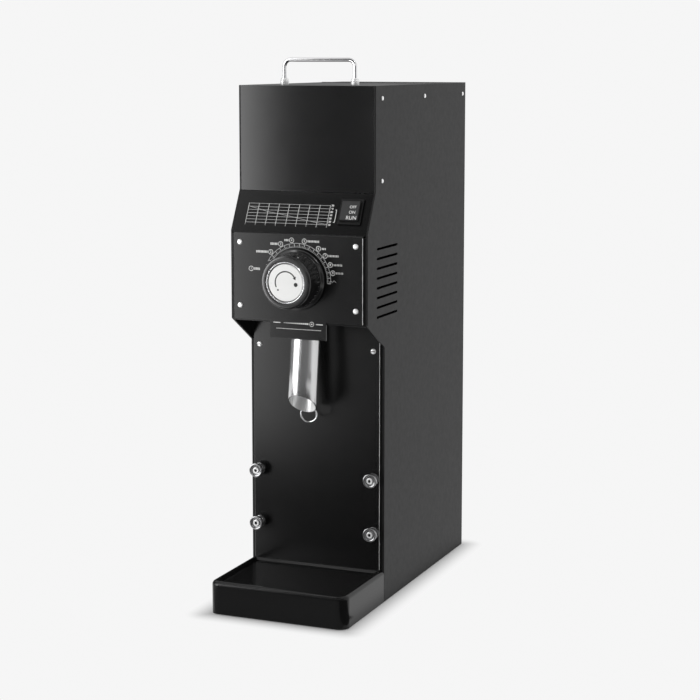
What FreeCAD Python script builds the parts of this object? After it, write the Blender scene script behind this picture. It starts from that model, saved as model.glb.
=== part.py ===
import FreeCAD, Part
import math
import os
import Sketcher

os.makedirs("parts", exist_ok=True)
doc = FreeCAD.newDocument("shop_coffee_grinder")
sheet = doc.addObject("Spreadsheet::Sheet", "sizes")
Vector = FreeCAD.Vector

# Named sizes in millimetres: angles in degrees, shares and counts plain
SIZES = [
    ("case_width", 175.0),
    ("rear_edge", 203.4),
    ("tray_front", -203.4),
    ("upper_height", 124.2),
    ("foot_drop", 1.0),
    ("tray_top", 40.0),
    ("upper_plane", -112.6),
    ("control_proud", 27.5),
    ("lower_setback", 26.2),
    ("chart_height", 47.3),
    ("control_foot", 345.5),
    ("heel_drop", 32.9),
    ("cover_sheet", 2.0),
    ("front_sheet", 3.0),
    ("flange_width", 16.0),
    ("lid_rest_drop", 2.4),
    ("rear_inset", 4.0),
    ("seam_gap", 0.2),
    ("joint_gap", 0.5),
    ("edge_round", 0.8),
    ("panel_inset", 4.5),
    ("louvre_setback", 28.8),
    ("louvre_length", 66.4),
    ("louvre_height", 3.0),
    ("louvre_rise", 5.6),
    ("louvre_pitch", 11.5),
    ("louvre_count", 8.0),
    ("base_corner", 12.0),
    ("base_top_round", 5.0),
    ("base_wall", 5.0),
    ("base_deck", 6.0),
    ("tray_rim", 9.5),
    ("tray_back_rim", 4.0),
    ("tray_recess", 3.4),
    ("tray_bevel", 2.6),
    ("tray_inner_corner", 7.0),
    ("foot_radius", 11.0),
    ("foot_toe_radius", 9.0),
    ("foot_height", 8.0),
    ("foot_inset", 26.0),
    ("foot_screw_radius", 3.2),
    ("foot_boss_wall", 2.5),
    ("screw_fit", 0.25),
    ("control_screw_inset", 13.5),
    ("control_screw_drop", 12.0),
    ("control_screw_rise", 16.6),
    ("control_screw_radius", 3.3),
    ("screw_head_height", 1.9),
    ("screw_shank_radius", 1.9),
    ("screw_length", 8.0),
    ("screw_slot_width", 0.8),
    ("screw_slot_depth", 0.7),
    ("lower_screw_inset", 13.0),
    ("lower_screw_drop", 38.2),
    ("side_screw_setback", 20.1),
    ("side_screw_inset", 12.9),
    ("side_screw_drop", 14.6),
    ("side_screw_rise", 13.6),
    ("side_screw_radius", 2.6),
    ("side_head_height", 1.3),
    ("side_shank_radius", 1.5),
    ("side_screw_length", 5.0),
    ("rear_screw_inset", 9.0),
    ("rear_screw_rise", 24.0),
    ("rear_screw_drop", 17.8),
    ("tongue_half_width", 36.0),
    ("tongue_length", 20.5),
    ("chamber_foot_gap", 2.9),
    ("chamber_head_gap", 6.3),
    ("bush_clearance", 0.6),
    ("knob_skirt_radius", 36.0),
    ("knob_taper", 1.5),
    ("knob_skirt_depth", 4.0),
    ("knob_skirt_bevel", 2.0),
    ("knob_depth", 33.0),
    ("knob_back_gap", 0.7),
    ("knob_skirt_proud", 3.5),
    ("knob_shoulder", 7.0),
    ("knob_cap_depth", 2.4),
    ("knob_ring_width", 1.5),
    ("knob_ring_height", 1.0),
    ("knob_hub_wall", 5.0),
    ("knob_wall", 3.0),
    ("knob_fit", 0.1),
    ("drum_radius", 9.0),
    ("drum_reach", 18.0),
    ("drum_gap", 0.4),
    ("drum_flange_fit", 0.3),
    ("bush_wall", 5.0),
    ("bush_flange_out", 7.0),
    ("bush_flange", 3.0),
    ("bush_reach", 9.0),
    ("drum_flange_out", 2.3),
    ("drum_flange", 2.6),
    ("run_fit", 0.05),
    ("drum_wall", 3.0),
    ("spindle_thread_depth", 0.6),
    ("spindle_thread_pitch", 1.5),
    ("spindle_thread_count", 5.0),
    ("spindle_taper", 1.5),
    ("cover_setback", 10.1),
    ("cover_thick", 6.0),
    ("chamber_radius", 44.8),
    ("chamber_wall", 3.5),
    ("chamber_flange_out", 2.5),
    ("chamber_flange", 4.0),
    ("chamber_depth", 32.0),
    ("chamber_floor_thick", 6.0),
    ("auger_tube_radius", 24.0),
    ("auger_tube_wall", 4.0),
    ("auger_tube_length", 46.0),
    ("mount_flange_inset", 12.0),
    ("mount_flange_thick", 6.0),
    ("neck_setback", 7.0),
    ("neck_depth", 32.0),
    ("neck_wall", 3.0),
    ("neck_rise", 38.8),
    ("outlet_half_width", 12.0),
    ("outlet_setback", 5.0),
    ("outlet_depth", 19.0),
    ("outlet_wall", 3.0),
    ("outlet_gap", 0.3),
    ("bolt_radius", 1.5),
    ("bolt_head_radius", 2.6),
    ("bolt_head", 2.6),
    ("burr_clearance", 1.3),
    ("burr_bore_gap", 0.5),
    ("burr_thick", 8.5),
    ("burr_gap", 0.9),
    ("burr_tooth", 2.2),
    ("burr_tooth_count", 24.0),
    ("burr_tooth_width", 2.6),
    ("burr_tooth_lean", 1.56),
    ("burr_bolt_count", 3.0),
    ("carrier_thick", 6.5),
    ("carrier_vane", 0.9),
    ("shaft_radius", 8.0),
    ("nose_setback", 2.5),
    ("carrier_boss_wall", 6.0),
    ("carrier_boss_length", 3.0),
    ("flight_clearance", 1.4),
    ("auger_core_wall", 3.0),
    ("auger_end_gap", 2.0),
    ("auger_thick", 3.2),
    ("auger_pitch", 22.0),
    ("shield_radius", 58.0),
    ("shield_thick", 9.0),
    ("housing_length", 142.0),
    ("housing_wall", 3.5),
    ("housing_fin", 3.0),
    ("housing_fin_width", 3.2),
    ("housing_fin_count", 20.0),
    ("bearing_radius", 16.0),
    ("bearing_width", 9.0),
    ("bearing_race", 3.0),
    ("bearing_recess", 0.8),
    ("stator_length", 80.0),
    ("winding_setback", 5.0),
    ("slot_count", 12.0),
    ("slot_depth", 9.0),
    ("slot_width", 6.0),
    ("air_gap", 0.5),
    ("winding_length", 16.0),
    ("winding_clearance", 4.5),
    ("winding_width", 14.0),
    ("winding_round", 4.0),
    ("fan_clearance", 8.0),
    ("fan_setback", 3.0),
    ("fan_width", 14.0),
    ("fan_plate", 2.4),
    ("fan_hub_wall", 5.0),
    ("fan_blades", 8.0),
    ("fan_blade_width", 2.0),
    ("fan_cover_wall", 2.0),
    ("fan_cover_length", 26.0),
    ("shaft_tail", 18.0),
    ("cradle_inset", 12.0),
    ("cradle_length", 100.0),
    ("cradle_wall", 5.0),
    ("shelf_drop", 13.7),
    ("frame_inset", 17.5),
    ("frame_sheet", 3.0),
    ("frame_setback", 8.4),
    ("frame_rear_inset", 13.4),
    ("frame_window_margin", 26.0),
    ("frame_window_post", 20.0),
    ("bin_inset", 19.5),
    ("bin_setback", 7.6),
    ("bin_depth", 175.0),
    ("bin_wall", 1.6),
    ("bin_funnel_height", 70.0),
    ("bin_neck_length", 30.5),
    ("bin_rim_width", 12.0),
    ("bin_rim_back", 3.0),
    ("lid_edge_gap", 3.5),
    ("lid_lip_inset", 3.0),
    ("lid_lip_depth", 7.0),
    ("hinge_setback", 24.5),
    ("hinge_drop", 1.2),
    ("knuckle_radius", 2.3),
    ("hinge_pin_radius", 1.2),
    ("hinge_inset", 17.5),
    ("hinge_leaf", 1.2),
    ("hinge_leaf_width", 16.0),
    ("knuckle_count", 3.0),
    ("handle_half_width", 45.5),
    ("handle_setback", 39.0),
    ("handle_rise", 32.2),
    ("handle_wire_radius", 2.4),
    ("handle_bend", 8.0),
    ("ferrule_radius", 5.0),
    ("ferrule_height", 8.0),
    ("stud_inset", 12.5),
    ("stud_rise", 46.5),
    ("stud_pitch", 66.0),
    ("stud_disc_radius", 8.6),
    ("stud_neck_radius", 4.6),
    ("stud_foot_radius", 7.2),
    ("stud_reach", 14.0),
    ("stud_disc", 4.0),
    ("stud_foot", 2.5),
    ("stud_recess", 2.0),
    ("stud_recess_radius", 5.6),
    ("stud_screw_radius", 3.9),
    ("stud_screw_head", 1.8),
    ("stud_shank_radius", 2.0),
    ("stud_socket_radius", 1.8),
    ("stud_socket_depth", 1.2),
    ("spout_radius", 17.1),
    ("spout_wall", 1.4),
    ("spout_seat_rise", 0.4),
    ("spout_setback", 26.7),
    ("spout_clearance", 1.0),
    ("socket_clearance", 0.5),
    ("spout_tilt", 7.6),
    ("spout_front_reach", 94.9),
    ("spout_mouth_drop", 20.8),
    ("socket_radius", 22.0),
    ("socket_height", 2.5),
    ("ring_radius", 10.3),
    ("ring_wire", 1.0),
    ("lug_out", 2.6),
    ("lug_rise", 10.0),
    ("ring_fit", 0.3),
    ("lug_thick", 2.0),
    ("lug_radius", 3.0),
    ("switch_inset", 14.5),
    ("flange_notch_depth", 9.0),
    ("switch_width", 23.0),
    ("switch_head", 10.8),
    ("switch_length", 26.4),
    ("bezel_rim", 1.6),
    ("bezel_proud", 2.2),
    ("bezel_wall", 1.2),
    ("rocker_proud", 5.4),
    ("rocker_gap", 0.8),
    ("rocker_taper", 0.6),
    ("switch_case_depth", 22.0),
    ("rocker_depth", 4.0),
    ("inlet_inset", 49.5),
    ("inlet_rise", 55.0),
    ("inlet_half_width", 25.0),
    ("inlet_half_height", 16.0),
    ("inlet_mouth_half_width", 12.5),
    ("inlet_mouth_half_height", 9.0),
    ("inlet_depth", 18.0),
    ("inlet_wall", 2.0),
    ("pin_half_width", 2.0),
    ("pin_half_height", 1.0),
    ("pin_reach", 14.0),
    ("pin_spacing", 7.0),
    ("pin_rise", 4.0),
    ("reset_inset", 49.5),
    ("reset_radius", 5.0),
    ("reset_collar_radius", 8.0),
    ("reset_collar", 1.2),
    ("reset_depth", 16.0),
    ("reset_button_radius", 4.0),
    ("reset_button_reach", 1.8),
    ("capacitor_radius", 21.0),
    ("capacitor_height", 92.0),
    ("capacitor_wall_gap", 10.0),
    ("capacitor_line", 40.0),
    ("relay_half_width", 24.0),
    ("relay_length", 62.0),
    ("relay_height", 54.0),
    ("relay_gutter", 18.0),
    ("relay_wall_gap", 11.0),
    ("relay_gap", 9.0),
    ("rear_vent_half_width", 40.0),
    ("rear_vent_drop", 12.7),
    ("rear_vent_count", 6.0),
]


class Size:
    """A number together with the sheet expression that gives it."""

    def __init__(self, number, text):
        self.number = number
        self.text = text

    def __add__(self, other):
        other = as_size(other)
        return Size(self.number + other.number, "(%s + %s)" % (self.text, other.text))

    def __sub__(self, other):
        other = as_size(other)
        return Size(self.number - other.number, "(%s - %s)" % (self.text, other.text))

    def __mul__(self, other):
        other = as_size(other)
        return Size(self.number * other.number, "(%s * %s)" % (self.text, other.text))

    def __truediv__(self, other):
        other = as_size(other)
        return Size(self.number / other.number, "(%s / %s)" % (self.text, other.text))

    def __rsub__(self, other):
        return as_size(other) - self

    def __neg__(self):
        return Size(-self.number, "(0 - %s)" % self.text)

    def root(self):
        return Size(math.sqrt(self.number), "sqrt(%s)" % self.text)

    def sine(self):
        return Size(math.sin(math.radians(self.number)), "sin(%s * 1 deg)" % self.text)

    def cosine(self):
        return Size(math.cos(math.radians(self.number)), "cos(%s * 1 deg)" % self.text)


def as_size(value):
    return value if isinstance(value, Size) else Size(float(value), repr(float(value)))


NAMED = {}
for row, (alias, value) in enumerate(SIZES, 1):
    sheet.set("A%d" % row, alias)
    sheet.set("B%d" % row, repr(value))
    sheet.setAlias("B%d" % row, alias)
    NAMED[alias] = Size(value, "sizes." + alias)
doc.recompute()


def size(alias):
    return NAMED[alias]


def follow(alias, value):
    """Names a size that is worked out from others."""
    NAMED[alias] = value


# Fronts, from the upper panel out to the control panel and back to the lower one
follow("control_plane", size("upper_plane") - size("control_proud"))
follow("lower_plane", size("upper_plane") + size("lower_setback"))

# Heights, from the underside of the control section up to the lid
follow("chamber_flange_radius", size("chamber_radius") + size("chamber_flange_out"))
follow("axis_height", size("control_foot") + size("chamber_flange_radius") + size("chamber_foot_gap"))
follow("chart_foot", size("axis_height") + size("chamber_flange_radius") + size("chamber_head_gap"))
follow("chart_top", size("chart_foot") + size("chart_height"))
follow("case_top", size("chart_top") + size("upper_height"))
follow("heel_height", size("control_foot") - size("heel_drop"))
follow("tongue_foot", size("control_foot") - size("tongue_length"))
follow("louvre_low", size("control_foot") + size("louvre_rise"))
follow("rear_vent_low", size("axis_height") - size("rear_vent_drop"))
follow("inlet_height", size("tray_top") + size("inlet_rise"))
follow("shelf_height", size("axis_height") - size("shield_radius") - size("shelf_drop"))
follow("neck_top", size("axis_height") + size("neck_rise"))
follow("bin_neck_top", size("neck_top") + size("bin_neck_length"))
follow("bin_shoulder", size("bin_neck_top") + size("bin_funnel_height"))
follow("hinge_height", size("case_top") - size("hinge_drop"))
follow("outlet_foot", size("control_foot") + size("socket_height") + size("outlet_gap"))
follow("spout_top", size("control_foot") + size("spout_seat_rise"))

# Depths, from the panels back
follow("louvre_front", size("control_plane") + size("front_sheet") + size("louvre_setback"))
follow("cover_front", size("control_plane") + size("cover_setback"))
follow("chamber_front", size("cover_front") + size("cover_thick"))
follow("chamber_floor", size("chamber_front") + size("chamber_depth"))
follow("chamber_back", size("chamber_floor") + size("chamber_floor_thick"))
follow("auger_tube_end", size("chamber_back") + size("auger_tube_length"))
follow("motor_front", size("auger_tube_end") + size("mount_flange_thick"))
follow("neck_front", size("chamber_back") + size("neck_setback"))
follow("neck_back", size("neck_front") + size("neck_depth"))
follow("outlet_front", size("chamber_front") + size("outlet_setback"))
follow("outlet_back", size("outlet_front") + size("outlet_depth"))
follow("shaft_nose", size("chamber_front") + size("nose_setback"))
follow("spout_top_line", size("control_plane") + size("spout_setback"))
follow("frame_front", size("lower_plane") + size("frame_setback"))
follow("frame_back", size("rear_edge") - size("frame_rear_inset"))
follow("bin_front", size("upper_plane") + size("bin_setback"))
follow("bin_back", size("bin_front") + size("bin_depth"))
follow("hinge_line", size("bin_back") + size("hinge_setback"))
follow("lid_back", size("hinge_line") - size("lid_edge_gap"))
follow("handle_line", size("upper_plane") + size("handle_setback"))
follow("relay_line", size("capacitor_line") + size("capacitor_radius") + size("relay_gap"))

# Half widths, from the sides of the case inward
follow("case_half_width", size("case_width") / 2)
follow("panel_half_width", size("case_half_width") - size("panel_inset"))
follow("frame_half_width", size("case_half_width") - size("frame_inset"))
follow("bin_half_width", size("case_half_width") - size("bin_inset"))
follow("hinge_half_length", size("case_half_width") - size("hinge_inset"))
follow("switch_left", size("case_half_width") - size("switch_inset") - size("switch_width"))
follow("cradle_half_width", size("shield_radius") - size("cradle_inset"))
follow("frame_inside", size("frame_half_width") - size("frame_sheet"))
follow("capacitor_x", size("capacitor_radius") + size("capacitor_wall_gap") - size("frame_inside"))
follow("relay_x", size("frame_inside") - size("relay_half_width") - size("relay_wall_gap"))
follow("inlet_x", size("inlet_inset") - size("case_half_width"))
follow("reset_x", size("case_half_width") - size("reset_inset"))

# Radii of the pieces that run inside one another
follow("chamber_inner_radius", size("chamber_radius") - size("chamber_wall"))
follow("bolt_circle", (size("chamber_inner_radius") + size("chamber_flange_radius")) / 2)
follow("burr_radius", size("chamber_inner_radius") - size("burr_clearance"))
follow("auger_bore_radius", size("auger_tube_radius") - size("auger_tube_wall"))
follow("neck_half_width", size("auger_bore_radius"))
follow("burr_bore", size("auger_bore_radius") + size("burr_bore_gap"))
follow("auger_flight", size("auger_bore_radius") - size("flight_clearance"))
follow("auger_core", size("shaft_radius") + size("auger_core_wall"))
follow("mount_flange_radius", size("shield_radius") - size("mount_flange_inset"))
follow("housing_bore", size("shield_radius") - size("housing_wall"))
follow("winding_outer", size("housing_bore") - size("winding_clearance"))
follow("winding_inner", size("winding_outer") - size("winding_width"))
follow("stator_bore", size("winding_inner") - size("winding_setback"))
follow("fan_radius", size("shield_radius") - size("fan_cover_wall") - size("fan_clearance"))
follow("fan_hub", size("shaft_radius") + size("fan_hub_wall"))
follow("bush_radius", size("drum_radius") + size("bush_wall"))
follow("panel_bore", size("bush_radius") + size("bush_clearance"))
follow("bush_flange_radius", size("bush_radius") + size("bush_flange_out"))
follow("drum_flange_radius", size("drum_radius") + size("drum_flange_out"))
follow("spindle_radius", size("drum_radius") - size("drum_wall"))
follow("spindle_neck_radius", size("spindle_radius") - size("spindle_taper"))
follow("knob_hub_radius", size("drum_radius") + size("knob_hub_wall"))
follow("knob_waist_radius", size("knob_skirt_radius") - size("knob_skirt_proud"))
follow("knob_front_radius", size("knob_waist_radius") - size("knob_taper"))
follow("knob_cap_radius", size("knob_front_radius") - size("knob_shoulder"))
follow("spout_back_reach", size("spout_front_reach") + size("spout_mouth_drop"))
follow("lug_reach", size("spout_back_reach") - size("lug_rise"))


def new_body(label):
    return doc.addObject("PartDesign::Body", label)


def new_sketch(body, role, at=0):
    """A sketch on an origin plane of the body, moved along its world axis."""
    at = as_size(at)
    sketch = body.newObject("Sketcher::SketchObject", body.Name + "_sketch")
    plane = [f for f in body.Origin.OriginFeatures if f.Role == role + "_Plane"][0]
    sketch.AttachmentSupport = [(plane, "")]
    sketch.MapMode = "FlatFace"
    shift = -at if role == "XZ" else at
    sketch.AttachmentOffset = FreeCAD.Placement(Vector(0, 0, shift.number), FreeCAD.Rotation())
    sketch.setExpression("AttachmentOffset.Base.z", shift.text)
    return sketch


def hold(sketch, kind, element, point, value):
    value = as_size(value)
    index = sketch.addConstraint(Sketcher.Constraint(kind, element, point, value.number))
    sketch.setExpression("Constraints[%d]" % index, value.text)


def outline(sketch, points):
    """Closed outline through the points, each corner held by two dimensions."""
    points = [(as_size(x), as_size(y)) for x, y in points]
    first = sketch.GeometryCount
    count = len(points)
    for i in range(count):
        x0, y0 = points[i]
        x1, y1 = points[(i + 1) % count]
        start = Vector(x0.number, y0.number, 0)
        end = Vector(x1.number, y1.number, 0)
        sketch.addGeometry(Part.LineSegment(start, end))
    for i in range(count):
        after = first + (i + 1) % count
        sketch.addConstraint(Sketcher.Constraint("Coincident", first + i, 2, after, 1))
    for i, (x, y) in enumerate(points):
        hold(sketch, "DistanceX", first + i, 1, x)
        hold(sketch, "DistanceY", first + i, 1, y)


def rectangle(sketch, x0, x1, y0, y1):
    outline(sketch, [(x0, y0), (x1, y0), (x1, y1), (x0, y1)])


def circle(sketch, x, y, radius):
    x, y, radius = as_size(x), as_size(y), as_size(radius)
    centre = Vector(x.number, y.number, 0)
    index = sketch.addGeometry(Part.Circle(centre, Vector(0, 0, 1), radius.number))
    value = Sketcher.Constraint("Radius", index, radius.number)
    sketch.setExpression("Constraints[%d]" % sketch.addConstraint(value), radius.text)
    hold(sketch, "DistanceX", index, 3, x)
    hold(sketch, "DistanceY", index, 3, y)


def round_slot(sketch, x0, x1, y, radius):
    """Slot with half-round ends whose end centres are at x0 and x1."""
    x0, x1, y, radius = as_size(x0), as_size(x1), as_size(y), as_size(radius)
    quarter = math.pi / 2
    low, high = (y - radius).number, (y + radius).number
    ends = []
    for x, start in ((x1, -quarter), (x0, quarter)):
        ring = Part.Circle(Vector(x.number, y.number, 0), Vector(0, 0, 1), radius.number)
        ends.append(sketch.addGeometry(Part.ArcOfCircle(ring, start, start + math.pi)))
    right, left = ends
    top = sketch.addGeometry(Part.LineSegment(Vector(x1.number, high, 0), Vector(x0.number, high, 0)))
    foot = sketch.addGeometry(Part.LineSegment(Vector(x0.number, low, 0), Vector(x1.number, low, 0)))
    for one, one_end, other, other_end in (
        (right, 2, top, 1), (top, 2, left, 1), (left, 2, foot, 1), (foot, 2, right, 1),
    ):
        sketch.addConstraint(Sketcher.Constraint("Coincident", one, one_end, other, other_end))
    for element, x in ((right, x1), (left, x0)):
        hold(sketch, "DistanceX", element, 3, x)
        hold(sketch, "DistanceY", element, 3, y)
        hold(sketch, "DistanceX", element, 1, x)
        hold(sketch, "DistanceX", element, 2, x)
        value = Sketcher.Constraint("Radius", element, radius.number)
        sketch.setExpression("Constraints[%d]" % sketch.addConstraint(value), radius.text)


def raise_or_sink(body, kind, sketch, length, toward):
    """Pad or pocket from the sketch along the world axis, toward +1 or -1."""
    length = as_size(length)
    feature = body.newObject("PartDesign::" + kind, body.Name + "_" + kind.lower())
    feature.Profile = sketch
    feature.Length = length.number
    feature.setExpression("Length", length.text)
    plane = sketch.AttachmentSupport[0][0].Role
    along = -1 if plane == "XZ_Plane" else 1
    forward = along if kind == "Pad" else -along
    feature.Reversed = forward != toward
    body.Tip = feature
    doc.recompute()
    return feature


def pad(body, sketch, length, toward=1):
    return raise_or_sink(body, "Pad", sketch, length, toward)


def sink(body, sketch, length, toward):
    before = body.Shape.Volume
    feature = raise_or_sink(body, "Pocket", sketch, length, toward)
    assert body.Shape.Volume < before, body.Label + " pocket removes nothing"
    return feature


def turned(body, points, role, axis, kind="Revolution"):
    """Full turn of a closed outline about a sketch axis."""
    sketch = new_sketch(body, role)
    outline(sketch, points)
    feature = body.newObject("PartDesign::" + kind, body.Name + "_" + kind.lower())
    feature.Profile = sketch
    feature.ReferenceAxis = (sketch, [axis])
    feature.Angle = 360
    body.Tip = feature
    doc.recompute()
    return feature


def polar(body, feature, count, role="XZ"):
    """Copies of a feature about the world axis normal to the plane."""
    sketch = new_sketch(body, role)
    pattern = body.newObject("PartDesign::PolarPattern", body.Name + "_polar")
    pattern.Originals = [feature]
    pattern.Axis = (sketch, ["N_Axis"])
    body.Tip = pattern
    pattern.Angle = 360
    pattern.Occurrences = int(count.number)
    pattern.setExpression("Occurrences", count.text)
    doc.recompute()
    return pattern


def row_of(body, feature, sketch, axis, pitch, count):
    pattern = body.newObject("PartDesign::LinearPattern", body.Name + "_row")
    pattern.Originals = [feature]
    pattern.Direction = (sketch, [axis])
    body.Tip = pattern
    pattern.Occurrences = int(count.number)
    length = pitch * (count - 1)
    pattern.Length = length.number
    pattern.setExpression("Length", length.text)
    pattern.setExpression("Occurrences", count.text)
    doc.recompute()
    return pattern


def soften(body, radius, test, kind="Fillet"):
    """Fillet or chamfer on the edges of the body that pass the test."""
    base = body.Tip
    names = ["Edge%d" % i for i, edge in enumerate(base.Shape.Edges, 1) if test(edge)]
    assert names, body.Label + " has no edge to soften"
    feature = body.newObject("PartDesign::" + kind, body.Name + "_" + kind.lower())
    feature.Base = (base, names)
    prop = "Radius" if kind == "Fillet" else "Size"
    setattr(feature, prop, radius.number)
    feature.setExpression(prop, radius.text)
    body.Tip = feature
    doc.recompute()
    return feature


SAME = 0.001
along_share = 0.999
dome_share = 0.8


def near(a, b):
    return abs(a - as_size(b).number) < SAME


def lies(edge, axis, value):
    """True when both ends of the edge are at the value on the axis."""
    return all(near(getattr(v.Point, axis), value) for v in edge.Vertexes)


def rings(edge, radius):
    """True for a circular edge of the radius."""
    return edge.Curve.TypeId == "Part::GeomCircle" and near(edge.Curve.Radius, radius)


def runs(edge, axis):
    """True for a straight edge along the axis."""
    if edge.Curve.TypeId != "Part::GeomLine":
        return False
    way = edge.Vertexes[-1].Point - edge.Vertexes[0].Point
    return abs(getattr(way, axis)) > along_share * way.Length


def lift_to_axis(body):
    """Moves a body built about the Y axis up to the shaft line."""
    body.Placement = FreeCAD.Placement(Vector(0, 0, size("axis_height").number), FreeCAD.Rotation())
    body.setExpression("Placement.Base.z", size("axis_height").text)


def slab(body, role, at, length, toward, *box):
    sketch = new_sketch(body, role, at)
    rectangle(sketch, *box)
    return pad(body, sketch, length, toward)


def drill(body, role, at, depth, toward, spots, radius):
    sketch = new_sketch(body, role, at)
    for x, y in spots:
        circle(sketch, x, y, radius)
    return sink(body, sketch, depth, toward)


half = size("case_half_width")
rear = size("rear_edge")
top = size("case_top")
sheet_t = size("cover_sheet")
front_t = size("front_sheet")
gap = size("seam_gap")
play = size("joint_gap")
upper_y = size("upper_plane")
control_y = size("control_plane")
lower_y = size("lower_plane")
cover_control_y = control_y + front_t
cover_lower_y = lower_y + front_t
chart_run = upper_y - cover_control_y
chart_drop = size("chart_top") - size("chart_foot")
chart_len = (chart_run * chart_run + chart_drop * chart_drop).root()
inner_half = half - sheet_t
flange_edge = half - size("flange_width")
rear_in = rear - size("rear_inset")
top_in = top - size("lid_rest_drop")
axis_z = size("axis_height")


def slant(down, out):
    """Point of the slanted front: distance down the slope and out of it."""
    y = upper_y - down * chart_run / chart_len - out * chart_drop / chart_len
    z = size("chart_top") - down * chart_drop / chart_len + out * chart_run / chart_len
    return y, z


def slanted_block(body, left, right, low, high, out_low, out_high, kind):
    """Adds or cuts a block square to the slanted front between two widths."""
    shape = new_sketch(body, "YZ", left)
    outline(shape, [slant(low, out_low), slant(high, out_low), slant(high, out_high), slant(low, out_high)])
    return raise_or_sink(body, kind, shape, right - left, 1)


def slant_y(z, depth):
    """Depth line of the slanted front, set in by depth, at height z."""
    return upper_y + (z - size("chart_top")) * chart_run / chart_drop + depth * chart_len / chart_drop


def slant_z(y, depth):
    return size("chart_top") + (y - upper_y - depth * chart_len / chart_drop) * chart_drop / chart_run


zero = as_size(0)
switch_left = size("switch_left")
switch_right = switch_left + size("switch_width")
head = size("switch_head")
switch_foot = head + size("switch_length")
bezel = size("bezel_wall")
rim = bezel + size("bezel_rim")
side_first = upper_y + size("side_screw_setback")
side_last = rear - size("side_screw_inset")
side_high = top - size("side_screw_drop")
SIDE_SPOTS = [
    (side_first, side_high),
    ((side_first + side_last) / 2, side_high),
    (side_last, side_high),
    (side_first, size("chart_top") + size("side_screw_rise")),
]
CONTROL_SPOTS = [
    (x, z)
    for x in (half - size("control_screw_inset"), size("control_screw_inset") - half)
    for z in (size("chart_foot") - size("control_screw_drop"),
              size("control_foot") + size("control_screw_rise"))
]
LOWER_SPOTS = [
    (x, size("control_foot") - size("lower_screw_drop"))
    for x in (half - size("lower_screw_inset"), size("lower_screw_inset") - half)
]
rear_low = size("tray_top") + size("rear_screw_rise")
rear_high = top - size("rear_screw_drop")
REAR_SPOTS = [
    (x, z)
    for x in (half - size("rear_screw_inset"), size("rear_screw_inset") - half)
    for z in (rear_low, (rear_low + rear_high) / 2, rear_high)
]
stud_low = size("tray_top") + size("stud_rise")
STUD_SPOTS = [
    (x, z)
    for x in (half - size("stud_inset"), size("stud_inset") - half)
    for z in (stud_low + size("stud_pitch"), stud_low)
]


def lining(inset):
    """Outline of the folded flange inside a side cover, set in by inset."""
    depth = front_t + inset
    step = size("chart_foot") - size("lid_rest_drop") - inset
    return [
        (rear_in - inset, size("tray_top") + inset),
        (rear_in - inset, top_in - inset),
        (upper_y + front_t + inset, top_in - inset),
        (upper_y + front_t + inset, slant_z(upper_y + front_t + inset, depth)),
        (slant_y(step, depth), step),
        (cover_control_y + inset, step),
        (cover_control_y + inset, size("control_foot") + inset),
        (cover_lower_y + inset, size("control_foot") + inset),
        (cover_lower_y + inset, size("tray_top") + inset),
    ]


# Side covers: folded sheet with louvre slots, one each side
for label, hand in (("left_side_cover", -1), ("right_side_cover", 1)):
    body = new_body(label)
    face = new_sketch(body, "YZ", half * hand)
    outline(face, [
        (rear, size("foot_drop")),
        (rear, top),
        (upper_y, top),
        (upper_y, size("chart_top")),
        (cover_control_y, size("chart_foot")),
        (cover_control_y, size("control_foot")),
        (cover_lower_y, size("heel_height")),
        (cover_lower_y, size("foot_drop")),
    ])
    pad(body, face, sheet_t, -hand)
    fold = new_sketch(body, "YZ", inner_half * hand)
    outline(fold, lining(as_size(0)))
    outline(fold, lining(sheet_t))
    pad(body, fold, inner_half - flange_edge, -hand)
    if hand > 0:
        slanted_block(body, flange_edge, switch_right + rim, head - rim - gap, switch_foot + rim + gap,
                      -size("flange_notch_depth"), zero, "Pocket")
    louvre = new_sketch(body, "YZ", half * hand)
    end = size("louvre_height") / 2
    start = size("louvre_front") + end
    round_slot(louvre, start, start + size("louvre_length") - size("louvre_height"), size("louvre_low"),
               end)
    cut = sink(body, louvre, sheet_t, -hand)
    row_of(body, cut, louvre, "V_Axis", size("louvre_pitch"), size("louvre_count"))
    drill(body, "YZ", half * hand, sheet_t, -hand, SIDE_SPOTS,
          size("side_shank_radius") + size("screw_fit"))
    spots = [(x, z) for x, z in CONTROL_SPOTS if x.number * hand > 0]
    drill(body, "XZ", cover_control_y, sheet_t, 1, spots, size("screw_shank_radius") + size("screw_fit"))
    spots = [(x, z) for x, z in LOWER_SPOTS if x.number * hand > 0]
    drill(body, "XZ", cover_lower_y, sheet_t, 1, spots, size("screw_shank_radius") + size("screw_fit"))
    spots = [(x, z) for x, z in STUD_SPOTS if x.number * hand > 0]
    drill(body, "XZ", cover_lower_y, sheet_t, 1, spots, size("stud_shank_radius") + size("screw_fit"))
    spots = [(x, z) for x, z in REAR_SPOTS if x.number * hand > 0]
    drill(body, "XZ", rear_in, sheet_t, -1, spots, size("side_shank_radius") + size("screw_fit"))
    soften(body, size("edge_round"), lambda e: lies(e, "x", half * hand) and (
        runs(e, "z") or runs(e, "y") and lies(e, "z", top)) and e.Length > half.number / 2)

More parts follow.
